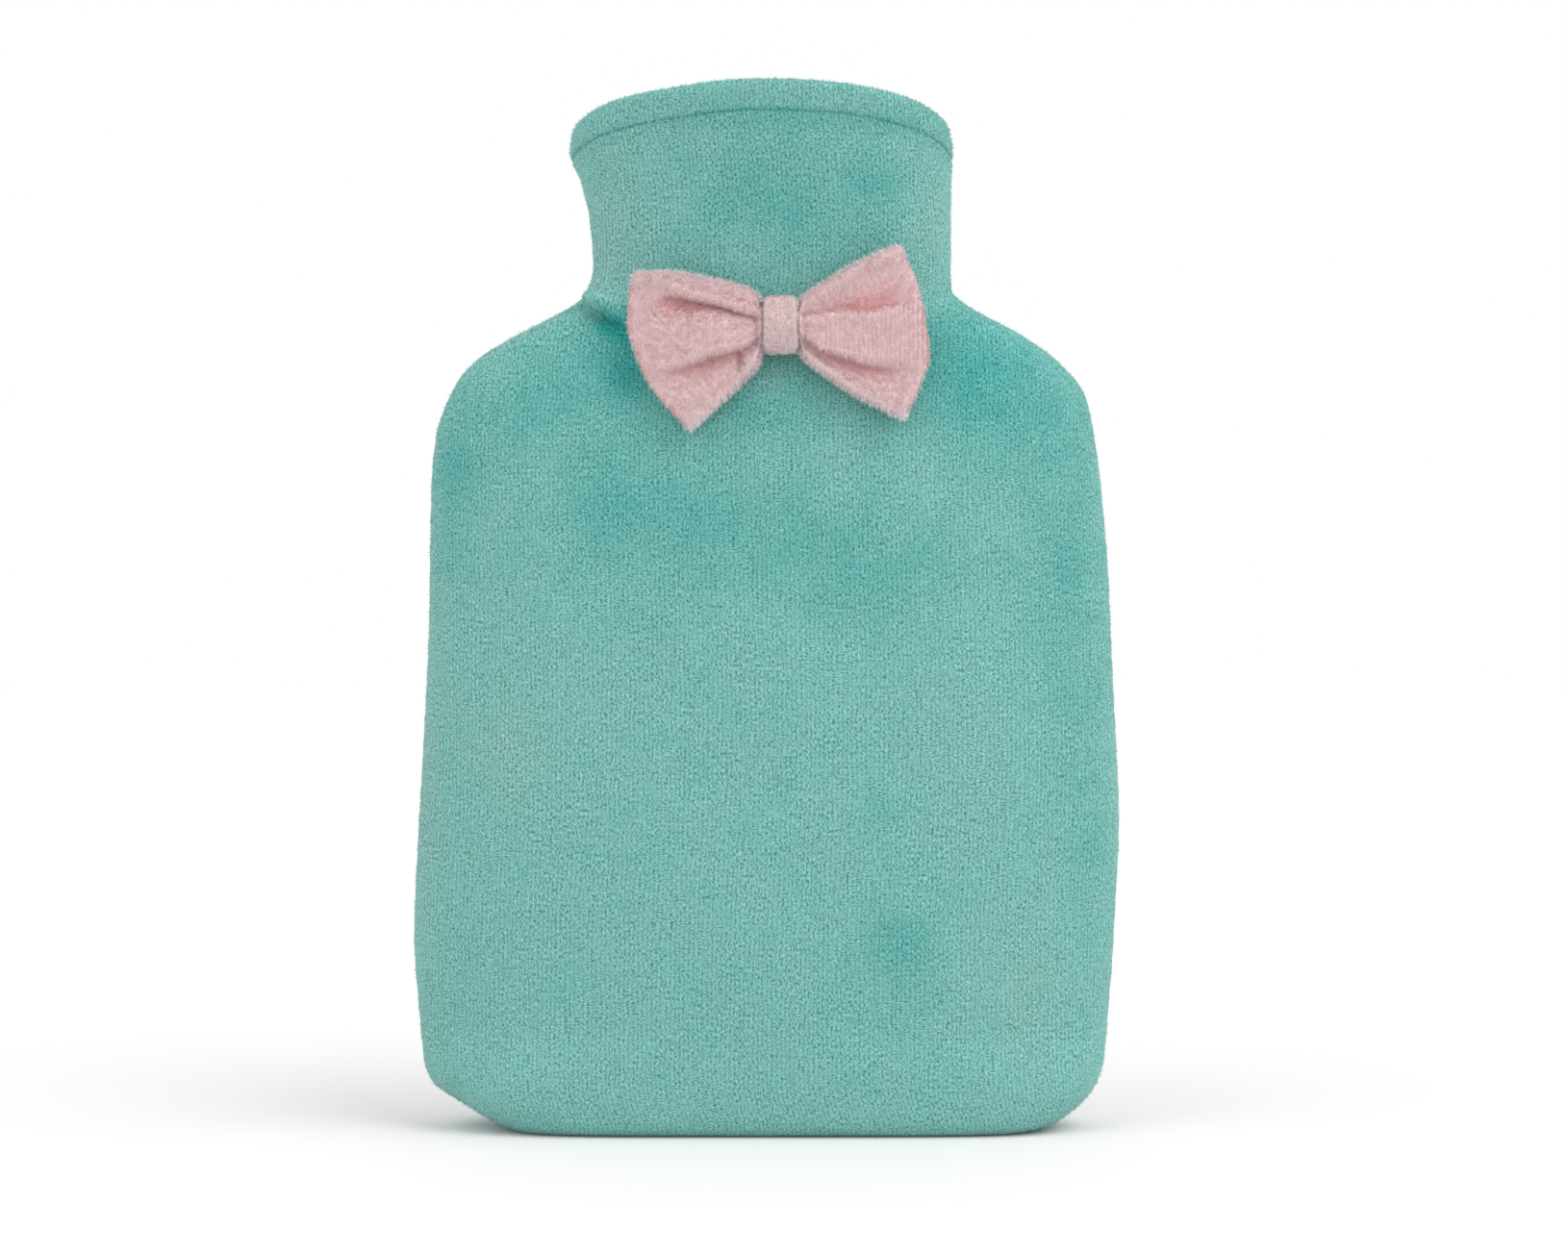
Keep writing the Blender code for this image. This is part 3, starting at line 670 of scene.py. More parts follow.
def panel_grid(side, columns, steps):
    """One panel's pile side as a grid of rows from the seam under the foot, up its face, over the rim and
    down inside to the hem's raw edge. Returns its points, normals, place on the flat cloth and marks.
    """
    seam_y, hem_top = side * (SEAM_GAP + SEAM_ROUND), STITCHING + HEM - HEM_ROLL
    turns = columns_of(columns)[None, :]
    roll = FOOT_ROLL * (1 - np.cos(np.linspace(0, math.pi / 2, 6)))
    # The heights between which the rows are evenly spaced, and closest at the throat and the hem.
    stops = [FOOT_ROLL, 22, 205, 240, 262, STITCHING - 5, STITCHING - 1.4, STITCHING + 1.4]
    stops.append(hem_top)
    runs = [np.linspace(a, b, n + 1)[1:] for a, b, n in zip(stops[:-1], stops[1:], steps, strict=True)]
    heights = np.concatenate([roll, *runs])[:, None]
    face = sleeve_face(heights, turns, side)
    out = normals_of(face, side)
    steps_across = np.hypot(*np.moveaxis(np.diff(face, axis=1), -1, 0)[:2])
    u = np.concatenate([np.zeros((len(face), 1)), np.cumsum(steps_across, axis=1)], axis=1)
    edge = u[:, -1:] / 2
    u = edge - u
    steps_up = np.hypot(*np.moveaxis(np.diff(face, axis=0), -1, 0)[1:])
    v = np.concatenate([np.zeros((1, columns)), np.cumsum(steps_up, axis=0)], axis=0)
    x, z = face[..., 0], face[..., 2]
    above = heights - STITCHING + 0 * u
    relief = hem_relief(above) * smoothstep(edge - np.abs(u), -3, 4) + slack(u, v, 5 + side)
    from_seam = edge - np.abs(u)
    pucker = 0.5 + 0.5 * np.sin(math.tau * v / 8.5 + 2.2 * np.sin(v / 19.0))
    relief -= 0.14 * pucker * np.exp(-from_seam / 5.0) * smoothstep(heights, 2, 30)
    marks_nap = nap_of(x, z, FRONT_NAP_SHEEN_AND_SHADE if side < 0 else BACK_NAP_SHEEN_AND_SHADE)
    free = smoothstep(from_seam, -1.0, 6.0)
    relief += free * fold_relief(x, z, FOLDS if side < 0 else BACK_FOLDS)
    if side < 0:
        lap, slide = lap_relief(x, z)
        relief += lap * free
        face = face + slide * free[..., None]
    keep = smoothstep(heights, 0.0, FOOT_ROLL)
    face = face + out * (relief * keep)[..., None]
    face[:, [0, -1], 1] = seam_y
    groove = np.exp(-((above / 0.55) ** 2))

    under = np.linspace(1, 0, 5)[:-1, None, None]
    ring = face[:1]
    foot = ring * np.array([1, 1, 0]) + under * (np.array([0, seam_y, 0]) - ring) * [0, 1, 0]
    flat = unit(out[-1:] * [1, 1, 0])
    flat[:, [0, -1]] = [[[1, 0, 0], [-1, 0, 0]]]
    turn_in, up = np.linspace(0, math.pi, 9)[1:, None, None], np.array([0, 0, 1])
    rim = face[-1:] - HEM_ROLL * (1 - np.cos(turn_in)) * flat + HEM_ROLL * np.sin(turn_in) * up
    rim_out = flat * np.cos(turn_in) + np.sin(turn_in) * up
    low = np.linspace(hem_top, STITCHING - HEM_INSIDE, 9)[1:, None]
    drop = sleeve_face(low, turns, side) - sleeve_face(np.full((1, 1), hem_top), turns, side)
    inside = rim[-1:] + drop
    inside[:, [0, -1], 1] = seam_y

    points = np.concatenate([foot, face, rim, inside])
    normals = np.concatenate([0 * foot - [0, 0, 1], normals_of(face, side), rim_out, 0 * inside - flat])
    before, after = len(foot), len(rim) + len(inside)
    run = np.concatenate([turn_in.ravel() * HEM_ROLL, math.pi * HEM_ROLL + 2.0 * np.arange(1, 9)])
    v_all = np.concatenate([v[:1] - np.abs(foot - ring)[..., 1], v, v[-1:] + run[:, None]])
    u_all = np.concatenate([np.repeat(u[:1], before, 0), u, np.repeat(u[-1:], after, 0)])
    pad = ((before, after), (0, 0))
    return {
        "points": points,
        "normals": normals,
        "cloth": np.stack([u_all, v_all, 0 * u_all], axis=-1),
        "nap": np.pad(marks_nap, pad, mode="edge"),
        "groove": np.pad(groove, pad),
        "foot_rows": before,
        "face_rows": len(face),
    }


def seam_strip(grid, side, allowance):
    """The cloth turned in at a panel's seam: along the panel's edge, a quarter circle of SEAM_ROUND towards
    the other panel, then straight in by the allowance.
    """
    foot = grid["foot_rows"]

    def edge_of(values):
        """Down the right seam, along under the foot, and up the left seam."""
        return np.concatenate([values[foot:, 0][::-1], values[0, 1:-1], values[foot:, -1]])

    edge, cloth = edge_of(grid["points"]), edge_of(grid["cloth"])
    tangent = unit(np.gradient(edge, axis=0) * [1, 0, 1])
    normal = np.stack([-tangent[:, 2], 0 * tangent[:, 0], tangent[:, 0]], axis=-1)
    normal = unit(normal + np.roll(normal, 1, 0) + np.roll(normal, -1, 0))
    normal[0], normal[-1] = normal[1], normal[-2]
    near_rim = smoothstep(edge[:, 2], STITCHING - 12, STITCHING - 2)
    deep = (allowance * (1 - near_rim) + 0.5 * near_rim)[:, None]
    toward = np.array([0, -side, 0]) * SEAM_ROUND
    rings = [edge]
    for turn in np.linspace(0, math.pi / 2, 5)[1:]:
        rings.append(edge - SEAM_ROUND * normal * (1 - math.cos(turn)) + toward * math.sin(turn))
    last = rings[-1]
    rings += [last - normal * deep * share for share in (0.5, 1.0)]
    points = np.stack(rings, axis=1)
    far = np.array([0, 0.9, 1.7, 2.6, 3.4, 5.5, 8.0])[None, :, None]
    places = cloth[:, None] + far * normal[:, None][..., [0, 2, 1]]
    faces = grid_faces(*points.shape[:2], flip=side < 0)
    return points, places, edge_of(grid["nap"]), edge_of(grid["groove"]), faces


def make_panel(name, side, columns, steps, cloth, materials):
    """A panel as one layer of cloth: its grid and its seam strip, joined, with the thickness inside."""
    grid = panel_grid(side, columns, steps)
    rows = len(grid["points"])
    strip, strip_cloth, strip_nap, strip_groove, strip_faces = seam_strip(grid, side, cloth.allowance / MM)
    across = strip.shape[1]
    points = np.concatenate([grid["points"].reshape(-1, 3), strip.reshape(-1, 3)])
    faces = np.concatenate([grid_faces(rows, columns, flip=side < 0), strip_faces + rows * columns])
    places = np.concatenate([grid["cloth"].reshape(-1, 3), strip_cloth.reshape(-1, 3)]) * MM
    marks = {
        "cloth": places,
        "nap": np.concatenate([grid["nap"].ravel(), np.repeat(strip_nap, across)]),
        "groove": np.concatenate([grid["groove"].ravel(), np.repeat(strip_groove, across)]),
        "rib": np.ones(len(points)),
    }
    obj = new_piece(name, points * MM + SEAM_PLACE, faces, marks, materials, weld=2e-6)
    layer = obj.modifiers.new("one_layer_of_cloth", "SOLIDIFY")
    layer.thickness = cloth.thickness
    layer.offset = -1
    layer.material_offset = 1
    layer.material_offset_rim = 1
    return obj, grid


# ---------------------------------------------------------------- loose fibres


def fibres(name, grid, count, long, thin, lean, tuft, seed, material, edges=0):
    """Loose pile: each fibre is a sliver with its root on the cloth and its tip along the normal, leaned
    down the nap. Roots are spread by each cell's area times its weight. Fibres whose roots share a cube of
    the size of a tuft lean alike, and their tips draw together. Where the nap is pale they are longer and
    more upright, as far as edges says, from 0 to 1.
    """
    dice = np.random.default_rng(seed)
    p = grid["points"]
    a, b, c, d = (p[s] for s in CELL_CORNERS)
    weights = (length(np.cross(c - a, d - b))[..., 0] * grid["weight"][:-1, :-1]).ravel()
    picked = dice.choice(len(weights), size=count, p=weights / weights.sum())
    s, t = dice.random((2, count, 1))
    mix = np.stack([(1 - s) * (1 - t), s * (1 - t), s * t, (1 - s) * t], axis=1)

    def at_roots(values):
        corners = np.stack([values[s] for s in CELL_CORNERS], axis=2).reshape(len(weights), 4, -1)
        return (corners[picked] * mix).sum(axis=1)

    root, normal, cloth, nap = (at_roots(grid[key]) for key in ("points", "normals", "cloth", "nap"))
    normal = unit(normal)
    down = np.array([0.0, 0.0, -1.0])
    down = unit(down - normal * (normal @ down)[:, None] + 1e-6)
    side = np.cross(normal, down)
    cube, which = np.unique(np.floor(root / tuft).astype(int), axis=0, return_inverse=True)
    which = which.ravel()
    centre = (cube + 0.5 + dice.uniform(-0.35, 0.35, cube.shape)) * tuft
    rim = np.clip(-2 * nap, 0, 1) * edges
    uneven = 1 - 0.25 * edges
    swirl = 0.8 * np.sin(cloth[:, :1] / 9.0 + 1.3 * np.sin(cloth[:, 1:2] / 13.0))
    swirl = swirl + uneven * dice.normal(0, 0.6, (len(cube), 1))[which] + dice.normal(0, 0.25, (count, 1))
    tilt = lean * (0.9 + uneven * dice.uniform(-0.4, 0.4, (len(cube), 1))[which]) * (1 - 0.4 * rim)
    way = unit(normal + (down * np.cos(swirl) + side * np.sin(swirl)) * tilt)
    reach = long / MM * dice.uniform(0.5, 1.15, (count, 1)) * (1 + 0.4 * rim)
    tip = root + way * reach
    pull = centre[which] - root
    rib = at_roots(grid["rib"])
    tip = tip + 0.6 * uneven * (1 - 0.7 * rib) * (pull - normal * (pull * normal).sum(axis=1, keepdims=True))
    tip[:, :1] -= 0.26 * rib * np.sin(math.tau * cloth[:, :1] * MM / bpy.context.scene.cover_cloth.rib_pitch)
    way = unit(tip - root)
    broad = unit(np.cross(way, normal))
    twist = dice.uniform(-0.5, 0.5, (count, 1))
    broad = (broad * np.cos(twist) + np.cross(way, broad) * np.sin(twist)) * (thin / MM / 2)
    root = root - normal * 0.12
    points = np.stack([root - broad, root + broad, tip], axis=1).reshape(-1, 3)
    marks = {
        "cloth": np.repeat(cloth, 3, axis=0) * MM,
        "nap": np.repeat(nap[:, 0], 3),
        "tip": np.tile([0.0, 0.0, 1.0], count),
    }
    obj = new_piece(name, points * MM + SEAM_PLACE, np.arange(3 * count).reshape(-1, 3), marks, [material])
    obj.data.shade_flat()
    lay_out(obj.data, cloth)
    return obj


CELL_CORNERS = (
    (slice(None, -1), slice(None, -1)),
    (slice(None, -1), slice(1, None)),
    (slice(1, None), slice(1, None)),
    (slice(1, None), slice(None, -1)),
)


def lay_out(mesh, cloth):
    """A map that gives each fibre a cell of its own, with neighbours on the cloth beside each other: sorted
    up the cloth into rows, then across it along each row.
    """
    count = len(cloth)
    side = math.ceil(math.sqrt(count))
    order = np.argsort(cloth[:, 1], kind="stable")
    row = np.empty(count, int)
    row[order] = np.arange(count) // side
    order = np.lexsort([cloth[:, 0], row])
    column = np.empty(count, int)
    column[order] = np.arange(count) % side
    corner = np.array([[0.08, 0.08], [0.92, 0.08], [0.5, 0.92]])
    uv = (np.stack([column, row], axis=-1)[:, None] + corner) / side
    layer = mesh.uv_layers.new(name="OFBake")
    layer.data.foreach_set("uv", uv.astype(np.float32).ravel())


# ---------------------------------------------------------------- the bow


def curve_at(points, places):
    """(out, up) along a smooth line through these points, with place 0 at its first and 1 at its last."""
    line = np.array(points, float)
    knots = np.concatenate([[0], np.cumsum(np.hypot(*np.diff(line, axis=0).T))])
    knots /= knots[-1]
    return np.stack([through(knots, line[:, 0], places), through(knots, line[:, 1], places)], axis=-1)


def wing_patch(wing, along, up):
    """The Coons patch between a wing's four edges: the sum of both ways across it, less its corners."""
    top, bottom, end = curve_at(wing.top, along), curve_at(wing.bottom, along), curve_at(wing.end, up)
    start = bottom[0] + (top[0] - bottom[0]) * up[:, None]
    a, u = along[:, None, None], up[None, :, None]
    between_edges = (1 - u) * bottom[:, None] + u * top[:, None]
    between_ends = (1 - a) * start[None] + a * end[None]
    corners = (1 - a) * ((1 - u) * bottom[0] + u * top[0]) + a * ((1 - u) * bottom[-1] + u * top[-1])
    return between_edges + between_ends - corners


def pleat_relief(wing, out, up):
    """How far the pleats sink a wing's front: valleys with one steep side, whose lip stands up a little."""
    sunk, lip = np.zeros_like(out), np.zeros_like(out)
    for pleat in wing.pleats:
        knots = [point.out for point in pleat]
        at = np.clip(out, knots[0], knots[-1])
        line, depth, above, below = (
            through(knots, [getattr(point, column) for point in pleat], at)
            for column in ("up", "depth", "above", "below")
        )
        line = line + 0.18 * np.sin(at / 2.3)
        reach = np.where(up > line, above, below)
        far = np.abs(up - line) / reach
        sunk = np.maximum(sunk, 0.82 * depth * np.exp(-(far**1.5)))
        steep = np.minimum(above, below)
        on_lip = (up - line) * np.where(above < below, 1.0, -1.0) - 2.0 * steep
        lip += 0.12 * depth * np.exp(-((on_lip / (1.1 * steep)) ** 2))
    return sunk, lip


def line_of(pleat, out):
    """How high a pleat's line lies at these distances from the knot."""
    return through([p.out for p in pleat], [p.up for p in pleat], np.clip(out, pleat[0].out, pleat[-1].out))


def wing_rings(wing, along, around):
    """Rings round a wing from beside the band to its end. The pouch has sewn edges of POUCH_EDGE radius and
    a soft crown between them. Gathers run out from the band, and the pleats sink its front.
    """
    up_share = (1 - np.cos(around)) / 2
    flat = wing_patch(wing, along, up_share)
    out, up = flat[..., 0], flat[..., 1]
    out = out - PILE_ROOM * smoothstep(out, 8, 40)
    up = up - PILE_ROOM * np.clip(up / 14, -1, 1)
    tall = length(curve_at(wing.top, along) - curve_at(wing.bottom, along))
    from_edge = tall * np.minimum(up_share, 1 - up_share)
    a = along[:, None]
    crown = np.sin(math.pi * a**0.75) ** 0.7
    end_round = np.sqrt(1 - np.clip((a - TIP_FROM) / TIP_LONG, 0, 1) ** 2)
    edge = np.sqrt(1 - (1 - np.clip(from_edge / POUCH_EDGE, 0, 1)) ** 2) * POUCH_EDGE
    lift = (edge + (WING_THICK / 2 - POUCH_EDGE) * crown * np.sin(around) ** 2) * end_round
    tied = (WAIST_THICK / 2 + 1.8) * np.abs(np.sin(around)) + 0 * a
    lift = tied + (lift - tied) * smoothstep(a, 0, 0.09)
    front = np.sin(around) > 0
    sunk, lip = pleat_relief(wing, out, up)
    hold = smoothstep(from_edge, 0.6, 3.2) * end_round
    fade = (1 - smoothstep(a, 0.10, 0.42)) * smoothstep(a, 0.0, 0.05)
    gathers = 0.26 * np.sin(up_share * math.tau * 5.5 + wing.side) * fade
    soft = slack(out * 2.2 + 31 * wing.side, up * 2.2, 11) * 0.45
    front_lift = lift - (sunk - lip) * hold + (gathers + soft) * hold
    tuck = 1.5 * bell(out, up, 11.6, -10.6, 88, 3.6, 1.2)[0] * (wing.side < 0)
    front_lift = front_lift - tuck * hold
    back_lift = lift + 0.5 * gathers * hold
    middle = BOW_TILT * up + BOW_CURL * (out / WING_REACH) ** 2
    y = np.where(front, middle - np.maximum(front_lift, -0.45 * lift - 0.4 * hold), middle + back_lift)
    # Painted light in the bow's nap: shade in the pleats' hollows, sheen along the pouch's sewn edges, and
    # shade in the gap beside the band.
    pleat_shade = 0.6 * np.where(front, smoothstep(sunk + tuck, 0.8, 4.0), 0) * hold
    nap = pleat_shade - 0.6 * (1 - smoothstep(from_edge, 0.5, 4.5))
    nap = nap + 0.2 * (1 - smoothstep(out, 5.5, 8.5)) * hold
    middle_panel = smoothstep(up - line_of(wing.pleats[1], out), 0.5, 2.5)
    middle_panel = middle_panel * smoothstep(line_of(wing.pleats[0], out) - up, 0.5, 2.5)
    rib = 0.12 + wing.ribs * middle_panel * smoothstep(out, 9, 14)
    cloth = np.stack([wing.side * out, up + 200 * (~front), 0 * out], axis=-1)
    points = np.stack([wing.side * out, y, up], axis=-1)
    return points, cloth, nap + 0 * y, rib


def bow_grid():
    """The whole bow as closed rings: the left wing from its end, the waist, and the right wing."""
    around = np.linspace(0, math.tau, 281)[:-1]
    tip = TIP_FROM + TIP_LONG * np.sin(np.linspace(0, math.pi / 2, 9))
    along = np.concatenate([np.linspace(0, 0.95, 88), tip])
    left, right = (wing_rings(wing, along, around) for wing in (LEFT_WING, RIGHT_WING))
    x = np.linspace(-4.6, 4.6, 7)[:, None] + 0 * around
    y, z = -WAIST_THICK / 2 * np.sin(around) + 0 * x, -WAIST_HEIGHT / 2 * np.cos(around) + 0 * x
    ring = np.stack([x, y, z], axis=-1)
    waist = (ring, ring[..., [0, 2, 1]] * [1, 1, 0], 0 * x, 0 * x)
    rings = zip(left, waist, right, strict=True)
    points, cloth, nap, rib = (np.concatenate([a[::-1], b, c]) for a, b, c in rings)
    return points + [KNOT_X, BOW_MIDDLE, KNOT_HEIGHT], cloth, nap, rib


def band_grid():
    """The band: a rounded strip of cloth round the bow's waist, whose outer face swells in the middle."""
    around = np.linspace(0, math.tau, 121)[:-1][:, None]
    half, thick = BAND_WIDTH / 2 - BAND_EDGE, BAND_CLOTH
    turn = np.linspace(0, math.pi, 9)[1:-1]
    outer, bulge = np.linspace(-half, half, 19), BAND_EDGE * np.sin(turn)
    x = np.concatenate([outer, half + bulge, outer[::-1], -half - bulge])
    low = np.concatenate([0 * outer, thick / 2 * (1 - np.cos(turn)), 0 * outer + thick])
    low = np.concatenate([low, thick / 2 * (1 + np.cos(turn))])[None]
    x = x[None] + 0 * around
    swell = BAND_SWELL * (1 - (x / (BAND_WIDTH / 2)) ** 2)
    waver = 0.16 * np.sin(5 * around + x / 2.1) + 0.12 * np.sin(9 * around - x / 1.3 + 1)
    tall = BAND_HEIGHT / 2 - BAND_SWELL + swell - low + waver
    deep = BAND_DEPTH / 2 - BAND_SWELL + swell - low + 0.6 * waver
    c, s = np.cos(around), np.sin(around)
    box = (np.abs(c) ** 2.6 + np.abs(s) ** 2.6) ** (-1 / 2.6)
    pinch = 0.35 * np.cos(2 * around) * (x / 5.4) ** 2
    points = np.stack([x * (1 - 0.04 * c), -deep * s * box, (tall + pinch) * c * box], axis=-1)
    cloth = np.stack([x, around * 9.0 + 0 * x, 0 * x], axis=-1)
    return points + [KNOT_X, BOW_MIDDLE, KNOT_HEIGHT], cloth, 0.0 * x + 0.1, 0.0 * x


# ---------------------------------------------------------------- operators


class COVER_OT_panels(bpy.types.Operator):
    """Sew the front and back panels, with their hem turned in, and raise their loose pile"""

    bl_idname = "cover.panels"
    bl_label = "Velour Panels"

    def execute(self, context):
        cloth = context.scene.cover_cloth
        finish = {"rib_strength": 1.0, "crossing": 1.0, "cloud": 0.95, "bump": 0.5, "sheen": 0.3}
        velvet = velour("mint_velour", cloth, **finish, stitched=cloth.stitch_pitch)
        knit = backing("mint_backing", cloth.pile)
        fuzz = loose_pile("mint_loose_pile", cloth, sheen=0.3)
        over_rim, below_hem = 7, 24  # rows of the hem's pile: over the rim, and below the face's last row
        hem_pile, stitched_down = 2.2, 0.75  # how dense it is there, and how much less so in the groove
        jobs = [
            ("front", -1, 178, (9, 104, 28, 30, 20, 5, 11, 9), cloth.fibres),
            ("back", 1, 120, (9, 84, 20, 16, 14, 5, 11, 9), cloth.fibres * 2 // 3),
        ]
        for word, side, columns, steps, count in jobs:
            obj, grid = make_panel(word + "_velour", side, columns, steps, cloth, [velvet, knit])
            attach(obj, "root")
            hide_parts(word + "_panel")
            rows, top = np.arange(len(grid["points"]))[:, None] - grid["foot_rows"], grid["face_rows"]
            weight = ((rows > 1) & (rows < top + over_rim)) + 0 * grid["nap"]
            weight = weight * np.where(rows > top - below_hem, hem_pile, 1.0)
            grid["weight"] = weight * (1 - stitched_down * grid["groove"])
            grid["rib"] = 0 * weight
            lay = {"long": cloth.pile_length, "thin": 0.15 * MM, "lean": 0.8, "tuft": 1.3, "seed": 7}
            pile = fibres(word + "_loose_pile", grid, count, **lay, material=fuzz)
            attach(pile, "root")
        return {"FINISHED"}


class COVER_OT_stitches(bpy.types.Operator):
    """Stitch the hem of both panels with a thread of the cloth's colour"""

    bl_idname = "cover.stitches"
    bl_label = "Hem Stitches"

    def execute(self, context):
        cloth = context.scene.cover_cloth
        thread = backing("mint_thread", [0.8 * c for c in cloth.pile])
        thread_radius, shows, rings, sides = 0.26, 0.8, 7, 6  # shows: how much of each stitch is on top
        for word, side in (("front", -1), ("back", 1)):
            turns = np.linspace(0.03, math.pi - 0.03, 1600)[None]
            both = sleeve_face(np.array([[STITCHING], [STITCHING + 1]]), turns, side)
            line, normal = both[0], normals_of(both, side)[0]
            arc = np.concatenate([[0], np.cumsum(length(np.diff(line, axis=0))[:, 0])])
            starts = np.arange(2.0, arc[-1] - 2.0, cloth.stitch_pitch / MM)
            steps = np.linspace(-0.98, 0.98, rings)
            at = starts[:, None] + steps * 0.5 * shows * cloth.stitch_pitch / MM
            core, out = (
                np.stack([np.interp(at, arc, values[:, k]) for k in range(3)], axis=-1)
                for values in (line, normal)
            )
            core = core - out * (0.75 + 0.55 * steps[None, :, None] ** 4)
            across = unit(np.cross(out, np.gradient(core, axis=1)))
            turn = np.linspace(0, math.tau, sides + 1)[:-1, None]
            thick = thread_radius * np.sqrt(1 - (steps * 0.98) ** 2)[None, :, None, None] + 0.02
            ring = out[:, :, None] * np.cos(turn) + across[:, :, None] * np.sin(turn)
            points = core[:, :, None] + ring * thick
            first = np.arange(len(starts))[:, None, None] * (rings * sides)
            faces = (grid_faces(rings, sides, closed=True)[None] + first).reshape(-1, 4)
            place = np.stack([at, 0 * at, 0 * at], axis=-1) * MM
            marks = {"cloth": np.repeat(place.reshape(-1, 3), sides, axis=0)}
            obj = new_piece(word + "_hem_stitches", points * MM + SEAM_PLACE, faces, marks, [thread])
            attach(obj, "root")
        return {"FINISHED"}


class COVER_OT_bow(bpy.types.Operator):
    """Gather the bow's pouch, wrap its band and raise the loose pile of both"""

    bl_idname = "cover.bow"
    bl_label = "Gathered Bow"

    def execute(self, context):
        bow = context.scene.cover_bow
        finish = {"rib_strength": 2.2, "crossing": 0.6, "cloud": 0.6, "bump": 0.4, "sheen": 0.6}
        velvet = velour("pink_velour", bow, **finish)
        fuzz = loose_pile("pink_loose_pile", bow, sheen=0.25)
        flat_fuzz = loose_pile("pink_band_pile", bow, sheen=0.2, tint=(0.78, 0.87, 0.87))
        pieces = [
            ("bow_loops", bow_grid(), bow.fibres, 21, (0.11, 0.062), 0.0048, "gathered"),
            ("bow_band", band_grid(), bow.fibres // 8, 22, (0.0108, 0.056), 0.0006, "folded"),
        ]
        for name, (points, cloth, nap, rib), count, seed, flat, area, held in pieces:
            rows, around = points.shape[:2]
            ends = name == "bow_loops"
            more_rows = 0 if ends else 1
            faces = grid_faces(rows + more_rows, around, closed=True) % (rows * around)
            sign = self.outward(points, faces)
            faces = faces if sign > 0 else faces[:, ::-1]
            marks = {"cloth": cloth.reshape(-1, 3) * MM, "nap": nap.ravel(), "rib": rib.ravel()}
            place = points * MM + SEAM_PLACE
            obj = new_piece(name + "_velour", place, faces, marks, [velvet], weld=2e-6)
            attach(obj, "root")
            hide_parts(name)
            wrap = {"points": points, "cloth": cloth, "nap": nap, "rib": rib}
            more = [(0, more_rows), (0, 1), (0, 0)]
            wrap = {key: np.pad(value, more[: value.ndim], mode="wrap") for key, value in wrap.items()}
            wrap["normals"] = normals_of(wrap["points"], sign)
            wrap["weight"] = np.ones(wrap["nap"].shape)
            if not ends:
                inner_face = slice(26, 45)
                wrap["weight"][:, inner_face] = 0.0
            else:
                in_band = np.abs(wrap["points"][..., 0] - KNOT_X) < 4.5
                behind = slice(around * 5 // 8, around * 7 // 8)
                wrap["weight"][in_band] = 0.0
                wrap["weight"][:, behind] = 0.35
                wrap["weight"] *= 1 - 0.5 * np.clip(wrap["nap"], 0, 1)
            long = bow.pile_length * (1.0 if ends else 0.65)
            lay = {"long": long, "thin": 0.12 * MM, "lean": 1.25, "tuft": 1.15, "seed": seed, "edges": 1}
            fur = fuzz if ends else flat_fuzz
            pile = fibres(name + "_loose_pile", wrap, count, **lay, material=fur)
            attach(pile, "root")
        return {"FINISHED"}

    def outward(self, points, faces):
        """1 if the faces' signed volume is positive, and else -1."""
        a, b, c, d = (points.reshape(-1, 3)[faces[:, k]] for k in range(4))
        middle = points.reshape(-1, 3).mean(axis=0)
        a, b, c, d = a - middle, b - middle, c - middle, d - middle
        return np.sign((a * np.cross(b, c)).sum() + (a * np.cross(c, d)).sum())


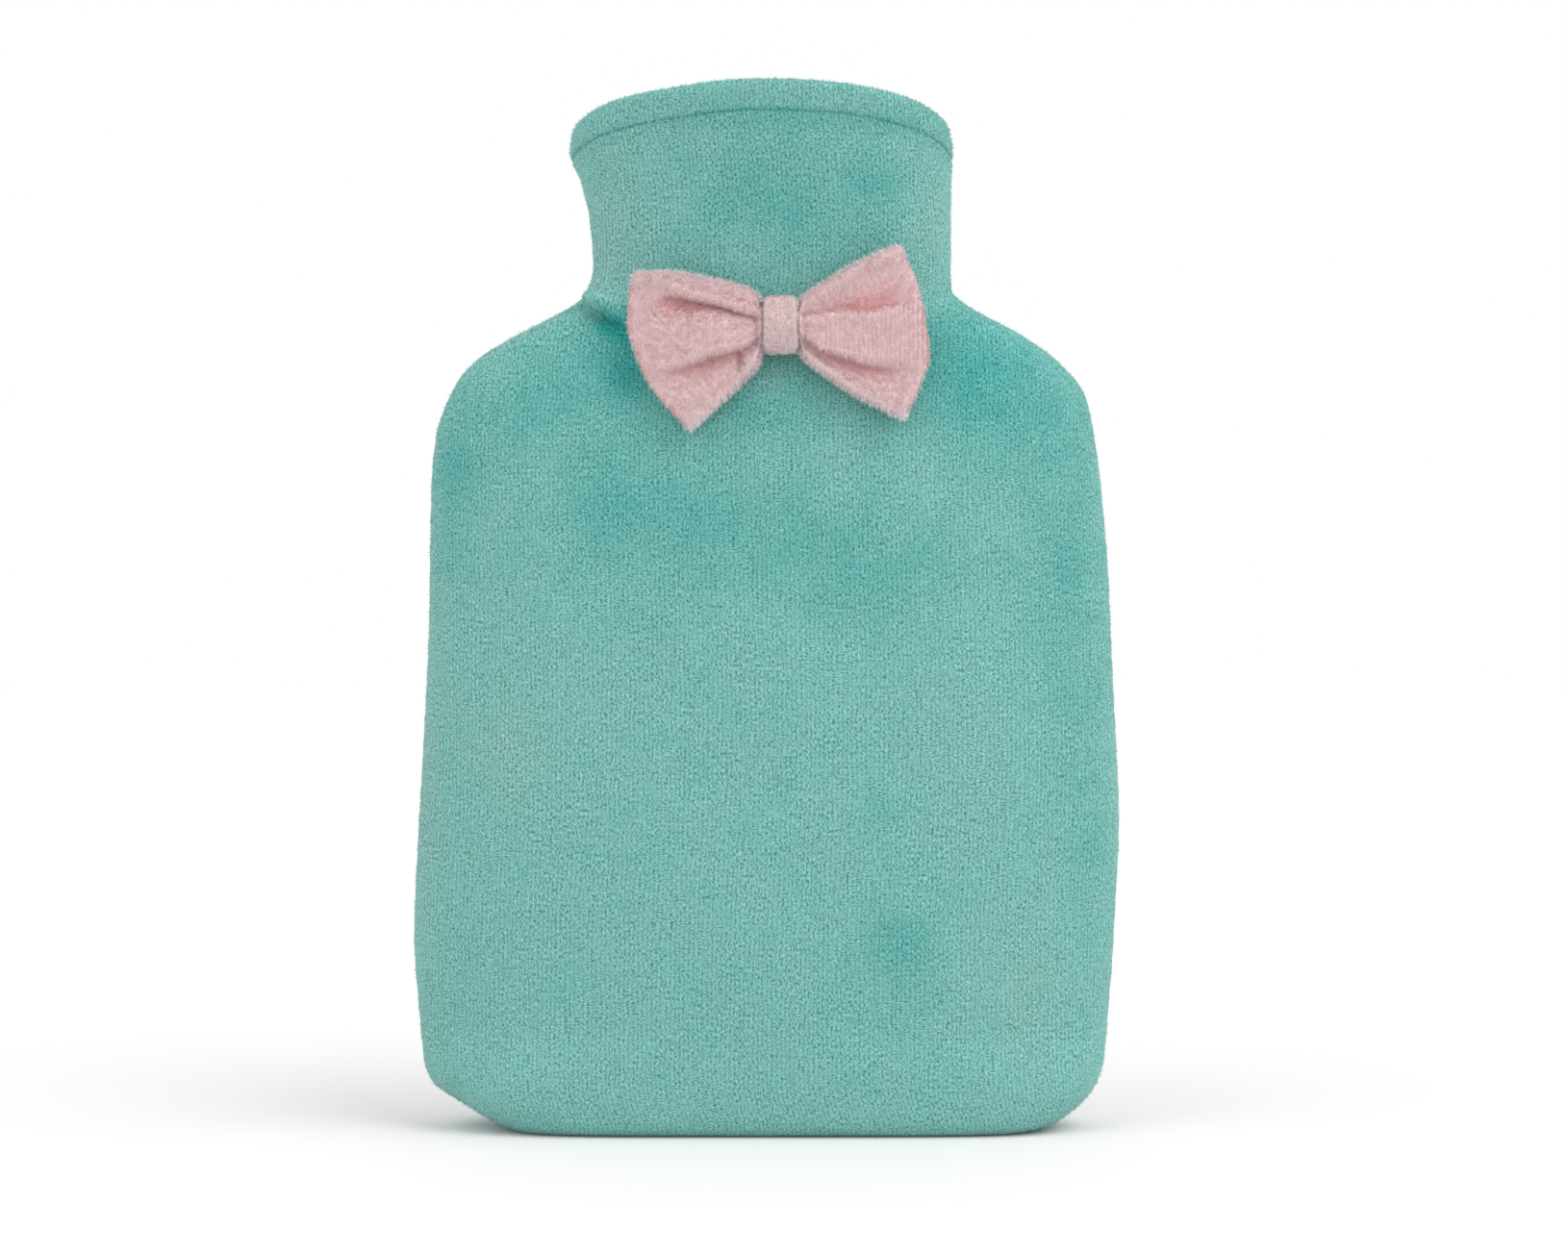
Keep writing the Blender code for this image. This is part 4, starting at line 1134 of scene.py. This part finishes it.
class COVER_OT_stage(bpy.types.Operator):
    """Lay the pale floor, and set the soft lights and the camera"""

    bl_idname = "cover.stage"
    bl_label = "Studio Stage"

    def execute(self, context):
        stage = context.scene.cover_stage
        scene = context.scene
        scene.view_settings.view_transform = "Standard"
        reach = np.array([-1.0, 1.0]) * 6
        x, y = np.meshgrid(reach, reach)
        finish = self.floor_finish(stage)
        floor = new_piece("floor", np.stack([x, y, 0 * x], axis=-1), grid_faces(2, 2), materials=[finish])
        self.light("key", right=62, above=48, broad=52, strength=stage.key)
        self.light("fill", right=-60, above=48, broad=50, strength=stage.fill)
        world = bpy.data.worlds.new("room")
        scene.world = world
        world.use_nodes = True
        tree = world.node_tree
        seen = add_node(tree, "Background", {"Color": (1, 1, 1, 1), "Strength": 1.0})
        lit = add_node(tree, "Background", {"Color": (1, 0.995, 0.985, 1), "Strength": stage.surround})
        ray = add_node(tree, "LightPath").outputs["Is Camera Ray"]
        both = add_node(tree, "MixShader", {0: ray, 1: lit.outputs[0], 2: seen.outputs[0]})
        tree.links.new(both.outputs[0], tree.nodes["World Output"].inputs["Surface"])
        data = bpy.data.cameras.new("camera")
        data.lens = stage.lens
        data.sensor_width = 36
        camera = bpy.data.objects.new("camera", data)
        camera.location = (0.00541, -0.99752, 0.1531)
        camera.rotation_euler = (math.pi / 2, 0, 0)
        scene.collection.objects.link(camera)
        scene.camera = camera
        return {"FINISHED"}

    def light(self, name, right, above, broad, strength):
        """A soft light from far away. Its place and breadth are in degrees from the front and the floor."""
        data = bpy.data.lights.new(name, "SUN")
        data.angle = math.radians(broad)
        data.energy = strength
        obj = bpy.data.objects.new(name, data)
        obj.rotation_euler = (math.radians(90 - above), 0, math.radians(right))
        bpy.context.scene.collection.objects.link(obj)

    def floor_finish(self, stage):
        """A pale matt floor that glows a little, as a light table does, so that it fades into the room."""
        material, tree, shader = new_material("floor")
        sockets = {"Base Color": colour4(stage.floor), "Roughness": 0.8, "Specular IOR Level": 0.1}
        feed(tree, shader, {**sockets, "Emission Color": (1, 1, 1, 1), "Emission Strength": 0.02})
        return material


class COVER_PT_tools(bpy.types.Panel):
    """The cover's pieces and their settings"""

    bl_label = "Plush Bottle Cover"
    bl_idname = "COVER_PT_tools"
    bl_space_type = "VIEW_3D"
    bl_region_type = "UI"
    bl_category = "Cover"

    def draw(self, context):
        for group in ("cover_cloth", "cover_bow", "cover_stage"):
            box = self.layout.box()
            settings = getattr(context.scene, group)
            for name in settings.bl_rna.properties.keys():
                if name not in ("rna_type", "name"):
                    box.prop(settings, name)
        for operator in OPERATORS:
            self.layout.operator(operator.bl_idname)


SETTINGS = {"cover_cloth": COVER_PG_cloth, "cover_bow": COVER_PG_bow, "cover_stage": COVER_PG_stage}
OPERATORS = [COVER_OT_stage, COVER_OT_panels, COVER_OT_stitches, COVER_OT_bow]


def register():
    for cls in [*SETTINGS.values(), *OPERATORS, COVER_PT_tools]:
        bpy.utils.register_class(cls)
    for name, cls in SETTINGS.items():
        setattr(bpy.types.Scene, name, PointerProperty(type=cls))


def unregister():
    for name in SETTINGS:
        delattr(bpy.types.Scene, name)
    for cls in reversed([*SETTINGS.values(), *OPERATORS, COVER_PT_tools]):
        bpy.utils.unregister_class(cls)


def main():
    register()
    bpy.ops.cover.stage()
    bpy.ops.cover.panels()
    bpy.ops.cover.stitches()
    bpy.ops.cover.bow()


if __name__ == "__main__":
    main()
